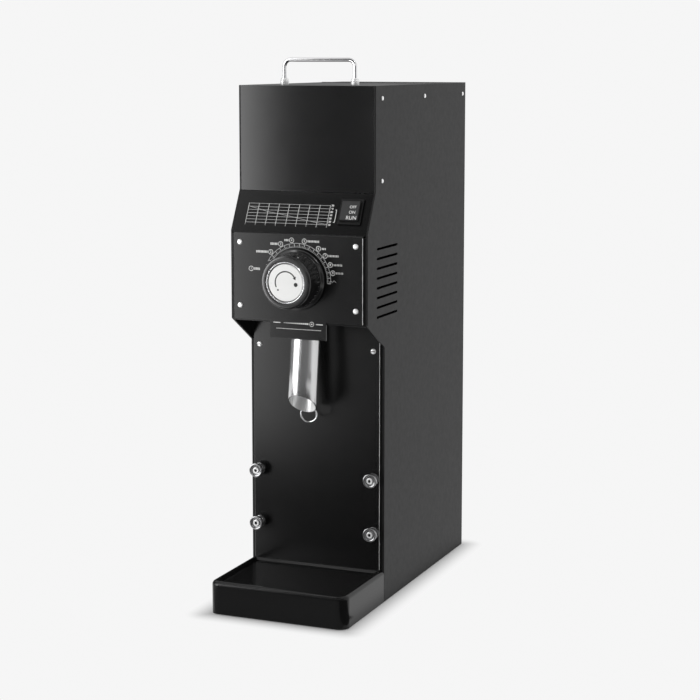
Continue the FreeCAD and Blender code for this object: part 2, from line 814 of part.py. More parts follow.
# Base casting: hollow foot with the shallow tray in front
body = new_body("base_casting")
plan = new_sketch(body, "XY", size("foot_drop"))
step_y = cover_lower_y - gap
inside = inner_half - gap
outline(plan, [
    (-half, size("tray_front")), (half, size("tray_front")), (half, step_y), (inside, step_y),
    (inside, rear_in + sheet_t), (-inside, rear_in + sheet_t), (-inside, step_y), (-half, step_y),
])
pad(body, plan, size("tray_top") - size("foot_drop"))
soften(body, size("base_corner"), lambda e: runs(e, "z") and lies(e, "y", size("tray_front")))
front_rim = size("tray_front") + size("tray_rim")
back_rim = lower_y - size("tray_back_rim")
side_rim = half - size("tray_rim")
bowl = new_sketch(body, "XY", size("tray_top"))
rectangle(bowl, -side_rim, side_rim, front_rim, back_rim)
sink(body, bowl, size("tray_recess"), -1)
floor_z = size("tray_top") - size("tray_recess")
soften(body, size("tray_inner_corner"), lambda e: runs(e, "z") and lies(e, "y", front_rim))
soften(body, size("tray_bevel"), lambda e: lies(e, "z", size("tray_top")) and (
    e.BoundBox.XMax < side_rim.number + SAME) and (
    e.BoundBox.XMin > -side_rim.number - SAME) and (
    e.BoundBox.YMin > front_rim.number - SAME) and e.BoundBox.YMax < back_rim.number + SAME, "Chamfer")
soften(body, size("base_top_round"), lambda e: lies(e, "z", size("tray_top")) and (
    e.BoundBox.YMin < size("tray_front").number + size("base_corner").number + SAME) and (
    e.BoundBox.XMax > half.number - SAME or e.BoundBox.XMin < -half.number + SAME
    or e.BoundBox.YMin < size("tray_front").number + SAME))
wall = size("base_wall")
under = new_sketch(body, "XY", size("foot_drop"))
rectangle(under, -inside + wall, inside - wall, size("tray_front") + wall, rear_in - wall)
deck_z = size("tray_top") - size("base_deck") - size("tray_recess")
sink(body, under, deck_z - size("foot_drop"), 1)
FOOT_SPOTS = [
    (x, y)
    for x in (half - size("foot_inset"), size("foot_inset") - half)
    for y in (size("tray_front") + size("foot_inset"), rear - size("foot_inset"))
]
boss = new_sketch(body, "XY", size("foot_height"))
for x, y in FOOT_SPOTS:
    circle(boss, x, y, size("foot_radius") + size("foot_boss_wall"))
pad(body, boss, deck_z - size("foot_height"))

# Rubber feet: four under the base
body = new_body("rubber_feet")
foot = new_sketch(body, "XY", 0)
for x, y in FOOT_SPOTS:
    circle(foot, x, y, size("foot_radius"))
pad(body, foot, size("foot_height"))
soften(body, size("foot_radius") - size("foot_toe_radius"), lambda e: lies(e, "z", 0), "Chamfer")
drill(body, "XY", 0, size("foot_height") / 2, 1, FOOT_SPOTS, size("foot_screw_radius"))

# Rear cover: sheet between the side covers with vents
body = new_body("rear_cover")
slab(body, "XZ", rear_in, sheet_t, 1, -inner_half + gap, inner_half - gap,
     size("tray_top") + gap, top_in - sheet_t)
vent = new_sketch(body, "XZ", rear_in)
end = size("louvre_height") / 2
round_slot(vent, -size("rear_vent_half_width"), size("rear_vent_half_width"), size("rear_vent_low"), end)
cut = sink(body, vent, sheet_t, 1)
row_of(body, cut, vent, "V_Axis", size("louvre_pitch"), size("rear_vent_count"))
drill(body, "XZ", rear_in, sheet_t, 1, REAR_SPOTS, size("side_shank_radius") + size("screw_fit"))
drill(body, "XZ", rear_in, sheet_t, 1, [(size("reset_x"), size("inlet_height"))],
      size("reset_radius") + gap)
mouth = new_sketch(body, "XZ", rear_in)
case_half = size("inlet_mouth_half_width") + size("inlet_wall")
case_rise = size("inlet_mouth_half_height") + size("inlet_wall")
rectangle(mouth, size("inlet_x") - case_half - gap, size("inlet_x") + case_half + gap,
          size("inlet_height") - case_rise - gap, size("inlet_height") + case_rise + gap)
sink(body, mouth, sheet_t, 1)

# Top rear cover: fixed strip behind the lid
body = new_body("top_rear_cover")
cover_front_y = size("hinge_line") + size("knuckle_radius") + play
slab(body, "XY", top - sheet_t, sheet_t, 1, -inner_half + gap, inner_half - gap, cover_front_y, rear)
slab(body, "XZ", rear, sheet_t, -1, -inner_half + gap, inner_half - gap, top_in - sheet_t + gap,
     top - sheet_t)
soften(body, size("edge_round"), lambda e: lies(e, "z", top) and lies(e, "y", rear))

# Upper front panel: glossy flat sheet
body = new_body("upper_front_panel")
slab(body, "XZ", upper_y, front_t, 1, -inner_half + gap, inner_half - gap, size("chart_top") + gap, top)
soften(body, size("edge_round") / 2, lambda e: lies(e, "y", upper_y))

# Chart panel: slanted sheet with the switch cut-out
body = new_body("chart_panel")
slope = new_sketch(body, "YZ", -inner_half + gap)
chart_head = size("chart_top") - gap
outline(slope, [
    (slant_y(chart_head, as_size(0)), chart_head),
    (slant_y(size("chart_foot"), as_size(0)), size("chart_foot")),
    (slant_y(size("chart_foot"), front_t - play), size("chart_foot")),
    (slant_y(chart_head, front_t - play), chart_head),
])
pad(body, slope, (inner_half - gap) * 2)
hole = new_sketch(body, "YZ", size("switch_left") - size("bezel_wall") - gap)
low = size("switch_head") - size("bezel_wall") - gap
high = switch_foot + size("bezel_wall") + gap
outline(hole, [slant(low, front_t), slant(high, front_t), slant(high, -front_t * 2),
               slant(low, -front_t * 2)])
sink(body, hole, size("switch_width") + (size("bezel_wall") + gap) * 2, 1)

# Control panel: dial plate with the tongue over the spout
body = new_body("control_panel")
plate = new_sketch(body, "XZ", control_y)
panel_half = size("panel_half_width")
tongue = size("tongue_half_width")
panel_top = size("chart_foot") - gap
outline(plate, [
    (-panel_half, size("control_foot")), (-tongue, size("control_foot")), (-tongue, size("tongue_foot")),
    (tongue, size("tongue_foot")), (tongue, size("control_foot")), (panel_half, size("control_foot")),
    (panel_half, panel_top), (-panel_half, panel_top),
])
pad(body, plate, front_t, 1)
drill(body, "XZ", control_y, front_t, 1, CONTROL_SPOTS, size("screw_shank_radius") + size("screw_fit"))
drill(body, "XZ", control_y, front_t, 1, [(as_size(0), axis_z)], size("panel_bore"))
soften(body, size("edge_round"), lambda e: lies(e, "y", control_y) and (runs(e, "x") or runs(e, "z")),
       "Chamfer")

# Lower front panel: sheet behind the cup space
body = new_body("lower_front_panel")
slab(body, "XZ", lower_y, front_t, 1, -panel_half, panel_half, size("tray_top") + gap,
     size("control_foot") - sheet_t - gap)
drill(body, "XZ", lower_y, front_t, 1, LOWER_SPOTS, size("screw_shank_radius") + size("screw_fit"))
drill(body, "XZ", lower_y, front_t, 1, STUD_SPOTS, size("stud_shank_radius") + size("screw_fit"))
soften(body, size("edge_round"), lambda e: lies(e, "y", lower_y) and runs(e, "z"), "Chamfer")

# Underside panel: closes the control section around the spout
body = new_body("underside_panel")
slab(body, "XY", size("control_foot") - sheet_t, sheet_t, 1, -inner_half + gap, inner_half - gap,
     cover_control_y + gap, cover_lower_y - gap)
drill(body, "XY", size("control_foot"), sheet_t, -1, [(as_size(0), size("spout_top_line"))],
      size("spout_radius") + size("spout_clearance"))

# Chassis frame: folded steel frame carrying the motor
body = new_body("chassis_frame")
frame = size("frame_half_width")
steel = size("frame_sheet")
front_f = size("frame_front")
back_f = size("frame_back")
floor_f = size("tray_top")
shelf = size("shelf_height")
ring = new_sketch(body, "XZ", front_f)
rectangle(ring, -frame, frame, floor_f, shelf)
rectangle(ring, -frame + steel, frame - steel, floor_f + steel, shelf - steel)
pad(body, ring, back_f - front_f, 1)
margin = size("frame_window_margin")
post = size("frame_window_post")
middle = (front_f + back_f) / 2
window = new_sketch(body, "YZ", -frame)
rectangle(window, front_f + margin, middle - post / 2, floor_f + margin, shelf - margin)
rectangle(window, middle + post / 2, back_f - margin, floor_f + margin, shelf - margin)
sink(body, window, frame * 2, 1)
vent = new_sketch(body, "XY", shelf)
rectangle(vent, -frame + margin, frame - margin, middle, back_f - margin)
sink(body, vent, steel, -1)

# Hopper bin: open box narrowing to the feed throat
body = new_body("hopper_bin")
bin_half = size("bin_half_width")
bin_front = size("bin_front")
bin_back = size("bin_back")
bin_top = top_in - sheet_t
shoulder = size("bin_shoulder")
throat_half = size("neck_half_width") + size("neck_wall")
throat_front = size("neck_front") - size("neck_wall")
throat_back = size("neck_back") + size("neck_wall")
skin = size("bin_wall")
neck_head = size("bin_neck_top")
slab(body, "XY", shoulder, bin_top - shoulder, 1, -bin_half, bin_half, bin_front, bin_back)


def bin_loft(kind, inset):
    """Funnel between the shoulder and the throat."""
    upper = new_sketch(body, "XY", shoulder)
    rectangle(upper, -bin_half + inset, bin_half - inset, bin_front + inset, bin_back - inset)
    lower = new_sketch(body, "XY", neck_head)
    rectangle(lower, -throat_half + inset, throat_half - inset, throat_front + inset, throat_back - inset)
    funnel = body.newObject("PartDesign::" + kind, body.Name + "_funnel")
    funnel.Profile = upper
    funnel.Sections = [lower]
    funnel.Ruled = True
    body.Tip = funnel
    doc.recompute()


bin_loft("AdditiveLoft", as_size(0))
slab(body, "XY", size("neck_top"), neck_head - size("neck_top"), 1, -throat_half, throat_half,
     throat_front, throat_back)
brim = size("bin_rim_width")
slab(body, "XY", bin_top - skin, skin, 1, -bin_half - brim, bin_half + brim, bin_front + play,
     bin_back + size("bin_rim_back"))
well = new_sketch(body, "XY", bin_top)
rectangle(well, -bin_half + skin, bin_half - skin, bin_front + skin, bin_back - skin)
sink(body, well, bin_top - shoulder, -1)
bin_loft("SubtractiveLoft", skin)
chute = new_sketch(body, "XY", neck_head)
rectangle(chute, skin - throat_half, throat_half - skin, throat_front + skin, throat_back - skin)
sink(body, chute, neck_head - size("neck_top"), -1)

# Hopper lid: sheet with a lip that drops into the bin
body = new_body("hopper_lid")
lid_front = upper_y + front_t + play
lid_back = size("lid_back")
lid_half = inner_half - play
slab(body, "XY", top - sheet_t, sheet_t, 1, -lid_half, lid_half, lid_front, lid_back)
lip = new_sketch(body, "XY", top - sheet_t)
lip_in = size("lid_lip_inset") + skin
rectangle(lip, -bin_half + lip_in, bin_half - lip_in, bin_front + lip_in, bin_back - lip_in)
lip_out = lip_in + skin
rectangle(lip, -bin_half + lip_out, bin_half - lip_out, bin_front + lip_out, bin_back - lip_out)
pad(body, lip, size("lid_lip_depth"), -1)
HANDLE_SPOTS = [(size("handle_half_width"), size("handle_line")),
                (-size("handle_half_width"), size("handle_line"))]
drill(body, "XY", top, sheet_t, -1, HANDLE_SPOTS, size("handle_wire_radius") + gap)
soften(body, size("edge_round") / 2, lambda e: lies(e, "z", top) and (runs(e, "x") or runs(e, "y")))

# Lid hinge: fixed leaf, moving leaf and pin
hinge_y = size("hinge_line")
hinge_z = size("hinge_height")
knuckle = size("knuckle_radius")
leaf = size("hinge_leaf")
reach = size("hinge_half_length")
count = size("knuckle_count")
segment = reach * 2 / (count * 2 - 1)
for label, hand, offset, turns, bore in (
    ("fixed_hinge_leaf", 1, as_size(0), count, size("hinge_pin_radius")),
    ("lid_hinge_leaf", -1, segment, count - 1, size("hinge_pin_radius") + size("run_fit")),
):
    body = new_body(label)
    first = new_sketch(body, "YZ", -reach + offset + play / 2)
    circle(first, hinge_y, hinge_z, knuckle)
    curl = pad(body, first, segment - play)
    web = new_sketch(body, "YZ", -reach + offset + play / 2)
    leaf_top = top - sheet_t
    leaf_edge = hinge_y + size("hinge_leaf_width") * hand
    rectangle(web, hinge_y + bore * hand, leaf_edge, leaf_top - leaf, leaf_top)
    arm = pad(body, web, segment - play)
    turn = body.newObject("PartDesign::LinearPattern", body.Name + "_row")
    turn.Originals = [curl, arm]
    turn.Direction = (first, ["N_Axis"])
    body.Tip = turn
    turn.Occurrences = int(turns.number)
    span = segment * 2 * (turns - 1)
    turn.Length = span.number
    turn.setExpression("Length", span.text)
    turn.setExpression("Occurrences", turns.text)
    doc.recompute()
    strap = new_sketch(body, "YZ", -reach)
    edge_in = hinge_y + (knuckle + play * 2) * hand
    rectangle(strap, edge_in, leaf_edge, leaf_top - leaf, leaf_top)
    pad(body, strap, reach * 2)
    drill(body, "YZ", -reach, reach * 2, 1, [(hinge_y, hinge_z)], bore)
body = new_body("hinge_pin")
pin = new_sketch(body, "YZ", -reach + play / 2)
circle(pin, hinge_y, hinge_z, size("hinge_pin_radius"))
pad(body, pin, reach * 2 - play)

# Lid handle: bent wire bow with its ferrules
body = new_body("lid_handle")
arch_half = size("handle_half_width")
arch_foot = top - sheet_t
arch_top = top + size("handle_rise") - size("handle_wire_radius")
bend = size("handle_bend")
path = new_sketch(body, "XZ", size("handle_line"))
low_z, high_z, side_x, corner = arch_foot.number, arch_top.number, arch_half.number, bend.number
left_leg = path.addGeometry(Part.LineSegment(Vector(-side_x, low_z, 0),
                                             Vector(-side_x, high_z - corner, 0)))
left_bend = path.addGeometry(Part.ArcOfCircle(
    Part.Circle(Vector(corner - side_x, high_z - corner, 0), Vector(0, 0, 1), corner), math.pi / 2,
    math.pi))
bar = path.addGeometry(Part.LineSegment(Vector(corner - side_x, high_z, 0),
                                        Vector(side_x - corner, high_z, 0)))
right_bend = path.addGeometry(Part.ArcOfCircle(
    Part.Circle(Vector(side_x - corner, high_z - corner, 0), Vector(0, 0, 1), corner), 0, math.pi / 2))
right_leg = path.addGeometry(Part.LineSegment(Vector(side_x, high_z - corner, 0), Vector(side_x, low_z, 0)))
for one, one_end, other, other_end in (
    (left_leg, 2, left_bend, 2), (left_bend, 1, bar, 1), (bar, 2, right_bend, 2),
    (right_bend, 1, right_leg, 1),
):
    path.addConstraint(Sketcher.Constraint("Coincident", one, one_end, other, other_end))
hold(path, "DistanceX", left_leg, 1, -arch_half)
hold(path, "DistanceY", left_leg, 1, arch_foot)
hold(path, "DistanceX", left_leg, 2, -arch_half)
hold(path, "DistanceY", left_leg, 2, arch_top - bend)
hold(path, "DistanceX", left_bend, 3, bend - arch_half)
hold(path, "DistanceY", left_bend, 3, arch_top - bend)
hold(path, "DistanceX", bar, 1, bend - arch_half)
hold(path, "DistanceX", bar, 2, arch_half - bend)
hold(path, "DistanceY", bar, 2, arch_top)
hold(path, "DistanceX", right_bend, 3, arch_half - bend)
hold(path, "DistanceY", right_bend, 3, arch_top - bend)
hold(path, "DistanceX", right_leg, 2, arch_half)
hold(path, "DistanceY", right_leg, 2, arch_foot)
wire = new_sketch(body, "XY", arch_foot)
circle(wire, -arch_half, size("handle_line"), size("handle_wire_radius"))
bow = body.newObject("PartDesign::AdditivePipe", "lid_handle_bow")
bow.Profile = wire
bow.Spine = path
bow.Transition = "Right corner"
body.Tip = bow
doc.recompute()
body = new_body("handle_ferrules")
cup = new_sketch(body, "XY", top)
for x, y in HANDLE_SPOTS:
    circle(cup, x, y, size("ferrule_radius"))
    circle(cup, x, y, size("handle_wire_radius"))
pad(body, cup, size("ferrule_height"))
soften(body, size("edge_round"), lambda e: lies(e, "z", top + size("ferrule_height")) and rings(
    e, size("ferrule_radius")))


def heads(body, role, at, toward, spots, head_radius, head_height, shank_radius, length):
    """Screws: round heads proud of a face with their shanks behind it."""
    disc = new_sketch(body, role, at)
    for x, y in spots:
        circle(disc, x, y, head_radius)
    pad(body, disc, head_height, toward)
    stem = new_sketch(body, role, at)
    for x, y in spots:
        circle(stem, x, y, shank_radius)
    pad(body, stem, length, -toward)


def slots(body, role, at, toward, spots, head_radius):
    cut = new_sketch(body, role, at)
    width = size("screw_slot_width") / 2
    for x, y in spots:
        rectangle(cut, x - head_radius, x + head_radius, y - width, y + width)
    sink(body, cut, size("screw_slot_depth"), -toward)


def domed(body, axis, at, head_radius):
    """Rounds the outer rim of the heads at a face."""
    rise = size("screw_head_height") if axis == "y" else size("side_head_height")
    soften(body, rise * dome_share, lambda e: lies(e, axis, at) and rings(e, head_radius))


# Control panel screws: four domed screws at the corners
body = new_body("control_panel_screws")
face_y = control_y - size("screw_head_height")
heads(body, "XZ", control_y, -1, CONTROL_SPOTS, size("control_screw_radius"), size("screw_head_height"),
      size("screw_shank_radius"), size("screw_length"))
domed(body, "y", face_y, size("control_screw_radius"))

# Lower panel screws: two slotted screws
body = new_body("lower_panel_screws")
face_y = lower_y - size("screw_head_height")
heads(body, "XZ", lower_y, -1, LOWER_SPOTS, size("control_screw_radius"), size("screw_head_height"),
      size("screw_shank_radius"), size("screw_length"))
domed(body, "y", face_y, size("control_screw_radius"))
slots(body, "XZ", face_y, -1, LOWER_SPOTS, size("control_screw_radius"))

# Cover screws: small screws of the side covers and the rear cover
body = new_body("cover_screws")
for hand in (-1, 1):
    heads(body, "YZ", half * hand, hand, SIDE_SPOTS, size("side_screw_radius"), size("side_head_height"),
          size("side_shank_radius"), size("side_screw_length"))
heads(body, "XZ", rear_in + sheet_t, 1, REAR_SPOTS, size("side_screw_radius"), size("side_head_height"),
      size("side_shank_radius"), size("side_screw_length"))
domed(body, "x", half + size("side_head_height"), size("side_screw_radius"))
domed(body, "x", -half - size("side_head_height"), size("side_screw_radius"))

# Bag rest studs: four turned spools on the lower panel
body = new_body("bag_rest_studs")
stage = lower_y
for radius, length in (
    (size("stud_foot_radius"), size("stud_foot")),
    (size("stud_neck_radius"), size("stud_reach") - size("stud_foot") - size("stud_disc")),
    (size("stud_disc_radius"), size("stud_disc")),
):
    disc = new_sketch(body, "XZ", stage)
    for x, z in STUD_SPOTS:
        circle(disc, x, z, radius)
    pad(body, disc, length, -1)
    stage = stage - length
stud_face = stage
soften(body, size("edge_round"), lambda e: rings(e, size("stud_disc_radius")) and (
    lies(e, "y", stud_face) or lies(e, "y", stud_face + size("stud_disc"))))
soften(body, size("edge_round") * 2, lambda e: rings(e, size("stud_neck_radius")), "Chamfer")
drill(body, "XZ", stud_face, size("stud_recess"), 1, STUD_SPOTS, size("stud_recess_radius"))
drill(body, "XZ", stud_face, size("stud_reach"), 1, STUD_SPOTS,
      size("stud_shank_radius") + size("screw_fit"))

# Stud screws: socket screws through the studs
body = new_body("stud_screws")
seat = stud_face + size("stud_recess")
heads(body, "XZ", seat, -1, STUD_SPOTS, size("stud_screw_radius"), size("stud_screw_head"),
      size("stud_shank_radius"), size("stud_reach") + front_t + sheet_t)
drill(body, "XZ", seat - size("stud_screw_head"), size("stud_socket_depth"), 1, STUD_SPOTS,
      size("stud_socket_radius"))

# Spout tube: slanted tube with an oblique mouth and the ring lug
body = new_body("spout_tube")
pipe = new_sketch(body, "XY", 0)
spout_r = size("spout_radius")
circle(pipe, 0, 0, spout_r)
circle(pipe, 0, 0, spout_r - size("spout_wall"))
pad(body, pipe, size("spout_back_reach"), -1)
fall = (size("spout_back_reach") - size("spout_front_reach")) / 2
mouth = new_sketch(body, "YZ", -spout_r * 2)
outline(mouth, [
    (-spout_r * 2, fall - size("spout_front_reach")), (spout_r * 2, -size("spout_back_reach") - fall),
    (spout_r * 2, -size("spout_back_reach") - spout_r * 2),
    (-spout_r * 2, -size("spout_back_reach") - spout_r * 2),
])
sink(body, mouth, spout_r * 4, 1)
lug = new_sketch(body, "YZ", -size("lug_thick") / 2)
lug_y = spout_r + size("lug_out")
lug_r = size("lug_radius")
rectangle(lug, spout_r - size("spout_wall") / 2, lug_y + lug_r, -size("lug_reach") - lug_r,
          lug_r - size("lug_reach"))
pad(body, lug, size("lug_thick"))
soften(body, lug_r / 2, lambda e: runs(e, "x") and lies(e, "y", lug_y + lug_r))
drill(body, "YZ", -size("lug_thick") / 2, size("lug_thick"), 1, [(lug_y, -size("lug_reach"))],
      size("ring_wire") + size("ring_fit"))
tilt = size("spout_tilt")
body.Placement = FreeCAD.Placement(
    Vector(0, size("spout_top_line").number, size("spout_top").number),
    FreeCAD.Rotation(Vector(1, 0, 0), -tilt.number))
body.setExpression("Placement.Base.y", size("spout_top_line").text)
body.setExpression("Placement.Base.z", size("spout_top").text)

# Spout socket: collar that seats the spout on the underside panel
body = new_body("spout_socket")
collar = new_sketch(body, "XY", size("control_foot"))
circle(collar, 0, size("spout_top_line"), size("socket_radius"))
circle(collar, 0, size("spout_top_line"), spout_r + size("socket_clearance"))
pad(body, collar, size("socket_height"))

# Spout ring: wire ring hanging behind the spout tip
body = new_body("spout_ring")
section = new_sketch(body, "YZ")
circle(section, 0, size("ring_radius"), size("ring_wire"))
hoop = body.newObject("PartDesign::Revolution", "spout_ring_hoop")
hoop.Profile = section
hoop.ReferenceAxis = (section, ["H_Axis"])
hoop.Angle = 360
body.Tip = hoop
pivot_y = size("spout_top_line") + lug_y * tilt.cosine() - size("lug_reach") * tilt.sine()
pivot_z = size("spout_top") - lug_y * tilt.sine() - size("lug_reach") * tilt.cosine()
centre_z = pivot_z - size("ring_radius")
body.Placement = FreeCAD.Placement(Vector(0, pivot_y.number, centre_z.number), FreeCAD.Rotation())
body.setExpression("Placement.Base.y", pivot_y.text)
body.setExpression("Placement.Base.z", centre_z.text)
doc.recompute()

# Dial knob: hollow turned knob with a hub on the adjusting drum
knob_back = control_y - size("knob_back_gap")
knob_front = control_y - size("knob_depth")
drum_end = control_y - size("drum_reach")
ring_seat = size("knob_cap_radius") + size("knob_ring_width") + size("knob_fit")
cap_seat = knob_front + size("knob_cap_depth")
hub_bore = size("drum_radius") + size("knob_fit")
cavity = cap_seat + size("knob_wall")
waist = size("knob_waist_radius")
body = new_body("dial_knob")
turned(body, [
    (knob_back, hub_bore), (knob_back, size("knob_hub_radius")), (cavity, size("knob_hub_radius")),
    (cavity, waist - size("knob_wall")), (knob_back, waist - size("knob_wall")),
    (knob_back, size("knob_skirt_radius")),
    (knob_back - size("knob_skirt_depth"), size("knob_skirt_radius")),
    (knob_back - size("knob_skirt_depth") - size("knob_skirt_bevel"), waist),
    (knob_front + size("knob_ring_width"), size("knob_front_radius")),
    (knob_front, size("knob_front_radius") - size("knob_ring_width")), (knob_front, ring_seat),
    (cap_seat, ring_seat), (cap_seat, 0), (drum_end - size("drum_gap"), 0),
    (drum_end - size("drum_gap"), hub_bore),
], "YZ", "H_Axis")
lift_to_axis(body)
body = new_body("knob_ring")
turned(body, [
    (cap_seat, size("knob_cap_radius") + size("knob_fit")), (cap_seat, ring_seat - size("knob_fit")),
    (knob_front - size("knob_ring_height") / 2, ring_seat - size("knob_fit")),
    (knob_front - size("knob_ring_height"), size("knob_cap_radius") + size("knob_ring_width") / 2),
    (knob_front - size("knob_ring_height") / 2, size("knob_cap_radius") + size("knob_fit")),
], "YZ", "H_Axis")
lift_to_axis(body)
body = new_body("knob_cap")
turned(body, [
    (cap_seat, 0), (cap_seat, size("knob_cap_radius")),
    (knob_front + size("knob_ring_height") / 2, size("knob_cap_radius")),
    (knob_front, size("knob_cap_radius") - size("knob_ring_height")), (knob_front, 0),
], "YZ", "H_Axis")
lift_to_axis(body)

# Dial bush: flanged bearing of the adjusting drum
cover_front = size("cover_front")
bush_in = cover_front - size("bush_flange") - size("drum_gap")
drum_run = size("drum_radius") + size("run_fit")
pocket_r = size("drum_flange_radius") + size("drum_flange_fit")
body = new_body("dial_bush")
turned(body, [
    (cover_front, pocket_r), (cover_front, size("bush_flange_radius")),
    (cover_front - size("bush_flange"), size("bush_flange_radius")),
    (cover_front - size("bush_flange"), size("bush_radius")),
    (cover_front - size("bush_reach"), size("bush_radius")), (cover_front - size("bush_reach"), drum_run),
    (bush_in, drum_run), (bush_in, pocket_r),
], "YZ", "H_Axis")
lift_to_axis(body)

# Adjusting drum: turns with the knob and is threaded inside
drum_back = cover_front - size("drum_gap")
spindle_run = size("spindle_radius") + size("run_fit")
body = new_body("adjusting_drum")
turned(body, [
    (drum_back, spindle_run), (drum_back, size("drum_flange_radius")),
    (drum_back - size("drum_flange"), size("drum_flange_radius")),
    (drum_back - size("drum_flange"), size("drum_radius")),
    (drum_end, size("drum_radius")), (drum_end, 0), (drum_end + size("drum_flange"), 0),
    (drum_end + size("drum_flange"), spindle_run),
], "YZ", "H_Axis")
lift_to_axis(body)

# Thrust spindle: grooved rod pushed in and out by the drum
nose = size("shaft_nose") - size("drum_flange_fit")
spindle_front = drum_end + size("drum_flange") * 2
thread = size("spindle_thread_depth")
pitch = size("spindle_thread_pitch")
profile = [(nose, 0), (nose, size("spindle_neck_radius")), (nose - pitch, size("spindle_radius"))]
start = cover_front - pitch * 2
for i in range(int(size("spindle_thread_count").number)):
    y = start - pitch * (i * 2)
    profile.append((y, size("spindle_radius")))
    profile.append((y - pitch / 2, size("spindle_radius") - thread))
    profile.append((y - pitch, size("spindle_radius")))
profile.append((spindle_front, size("spindle_radius")))
profile.append((spindle_front, 0))
body = new_body("thrust_spindle")
turned(body, profile, "YZ", "H_Axis")
lift_to_axis(body)

# Grinding chamber: cast cup with auger tube, bean neck and outlet
chamber_front = size("chamber_front")
motor_front = size("motor_front")
tube_end = size("auger_tube_end")
body = new_body("grinding_chamber")
turned(body, [
    (chamber_front, 0), (chamber_front, size("chamber_flange_radius")),
    (chamber_front + size("chamber_flange"), size("chamber_flange_radius")),
    (chamber_front + size("chamber_flange"), size("chamber_radius")),
    (size("chamber_back"), size("chamber_radius")),
    (size("chamber_back"), size("auger_tube_radius")), (tube_end, size("auger_tube_radius")),
    (tube_end, size("mount_flange_radius")), (motor_front, size("mount_flange_radius")), (motor_front, 0),
], "YZ", "H_Axis")
neck_half = size("neck_half_width")
slab(body, "XY", 0, size("neck_top") - axis_z, 1, -throat_half, throat_half, throat_front, throat_back)
outlet_half = size("outlet_half_width")
drop = axis_z - size("outlet_foot")
lip_w = size("outlet_wall")
slab(body, "XY", -drop, drop, 1, -outlet_half - lip_w, outlet_half + lip_w, size("outlet_front") - lip_w,
     size("outlet_back") + lip_w)
turned(body, [
    (chamber_front, 0), (chamber_front, size("chamber_inner_radius")),
    (size("chamber_floor"), size("chamber_inner_radius")),
    (size("chamber_floor"), size("auger_bore_radius")),
    (tube_end, size("auger_bore_radius")), (tube_end, size("shaft_radius") + play),
    (motor_front, size("shaft_radius") + play),
    (motor_front, 0),
], "YZ", "H_Axis", "Groove")
bean_way = new_sketch(body, "XY", size("neck_top") - axis_z)
rectangle(bean_way, -neck_half, neck_half, size("neck_front"), size("neck_back"))
sink(body, bean_way, size("neck_top") - axis_z, -1)
way_out = new_sketch(body, "XY", -drop)
rectangle(way_out, -outlet_half, outlet_half, size("outlet_front"), size("outlet_back"))
sink(body, way_out, drop, 1)
ring_r = size("bolt_circle")
diagonal = ring_r * as_size(2).root() / 2
BOLT_SPOTS = [(diagonal * a, diagonal * b) for a in (-1, 1) for b in (-1, 1)]
bolt_hole = size("bolt_radius") + size("screw_fit")
drill(body, "XZ", chamber_front, size("chamber_flange") * 2, 1, BOLT_SPOTS, bolt_hole)
lift_to_axis(body)

# Chamber cover and its bolts
body = new_body("chamber_cover")
turned(body, [
    (chamber_front, size("spindle_radius") + size("knob_fit")),
    (chamber_front, size("chamber_flange_radius")),
    (cover_front, size("chamber_flange_radius")), (cover_front, size("spindle_radius") + size("knob_fit")),
], "YZ", "H_Axis")
drill(body, "XZ", cover_front, chamber_front - cover_front, 1, BOLT_SPOTS, bolt_hole)
lift_to_axis(body)
body = new_body("chamber_bolts")
heads(body, "XZ", cover_front, -1, BOLT_SPOTS, size("bolt_head_radius"), size("bolt_head"),
      size("bolt_radius"),
      chamber_front - cover_front + size("chamber_flange"))
lift_to_axis(body)


def burr(label, back, toward):
    """Flat burr: ring with slanted cutting grooves on the face turned toward."""
    body = new_body(label)
    thick = size("burr_thick")
    face = back + thick * toward
    tooth = size("burr_tooth")
    turned(body, [
        (back, size("burr_bore")), (back, size("burr_radius")), (face, size("burr_radius")),
        (face, size("burr_bore") + tooth * 2), (face - tooth * 2 * toward, size("burr_bore")),
    ], "YZ", "H_Axis")
    groove = new_sketch(body, "XZ", face)
    width = size("burr_tooth_width")
    inner = size("burr_bore") + tooth * 2
    outer = size("burr_radius") + width
    lean = size("burr_tooth_lean")
    outline(groove, [(width, inner), (width * 2, inner), (width * 2 + lean, outer), (width + lean, outer)])
    cut = sink(body, groove, tooth, -toward)
    polar(body, cut, size("burr_tooth_count"))
    lift_to_axis(body)
    return face


# Burrs: the fixed one on the chamber floor, the turning one on its carrier
fixed_face = burr("stationary_burr", size("chamber_floor"), -1)
turning_face = fixed_face - size("burr_gap")
turning_back = turning_face - size("burr_thick")
burr("rotating_burr", turning_back, 1)
body = new_body("burr_carrier")
carrier_front = turning_back - size("carrier_thick")
hub_r = size("shaft_radius") + size("carrier_boss_wall")
boss_front = carrier_front - size("carrier_boss_length")
shaft_bore = size("shaft_radius") + size("run_fit")
turned(body, [
    (turning_back, shaft_bore), (turning_back, size("burr_radius")),
    (carrier_front, size("burr_radius") - size("carrier_vane")),
    (carrier_front, hub_r), (boss_front, hub_r), (boss_front, shaft_bore),
], "YZ", "H_Axis")
vane = new_sketch(body, "XZ", turning_back)
vane_w = size("burr_tooth_width")
rectangle(vane, -vane_w, vane_w, size("burr_radius") - vane_w, size("burr_radius") + size("carrier_vane"))
paddle = pad(body, vane, size("carrier_thick"), -1)
polar(body, paddle, size("burr_bolt_count"))
lift_to_axis(body)

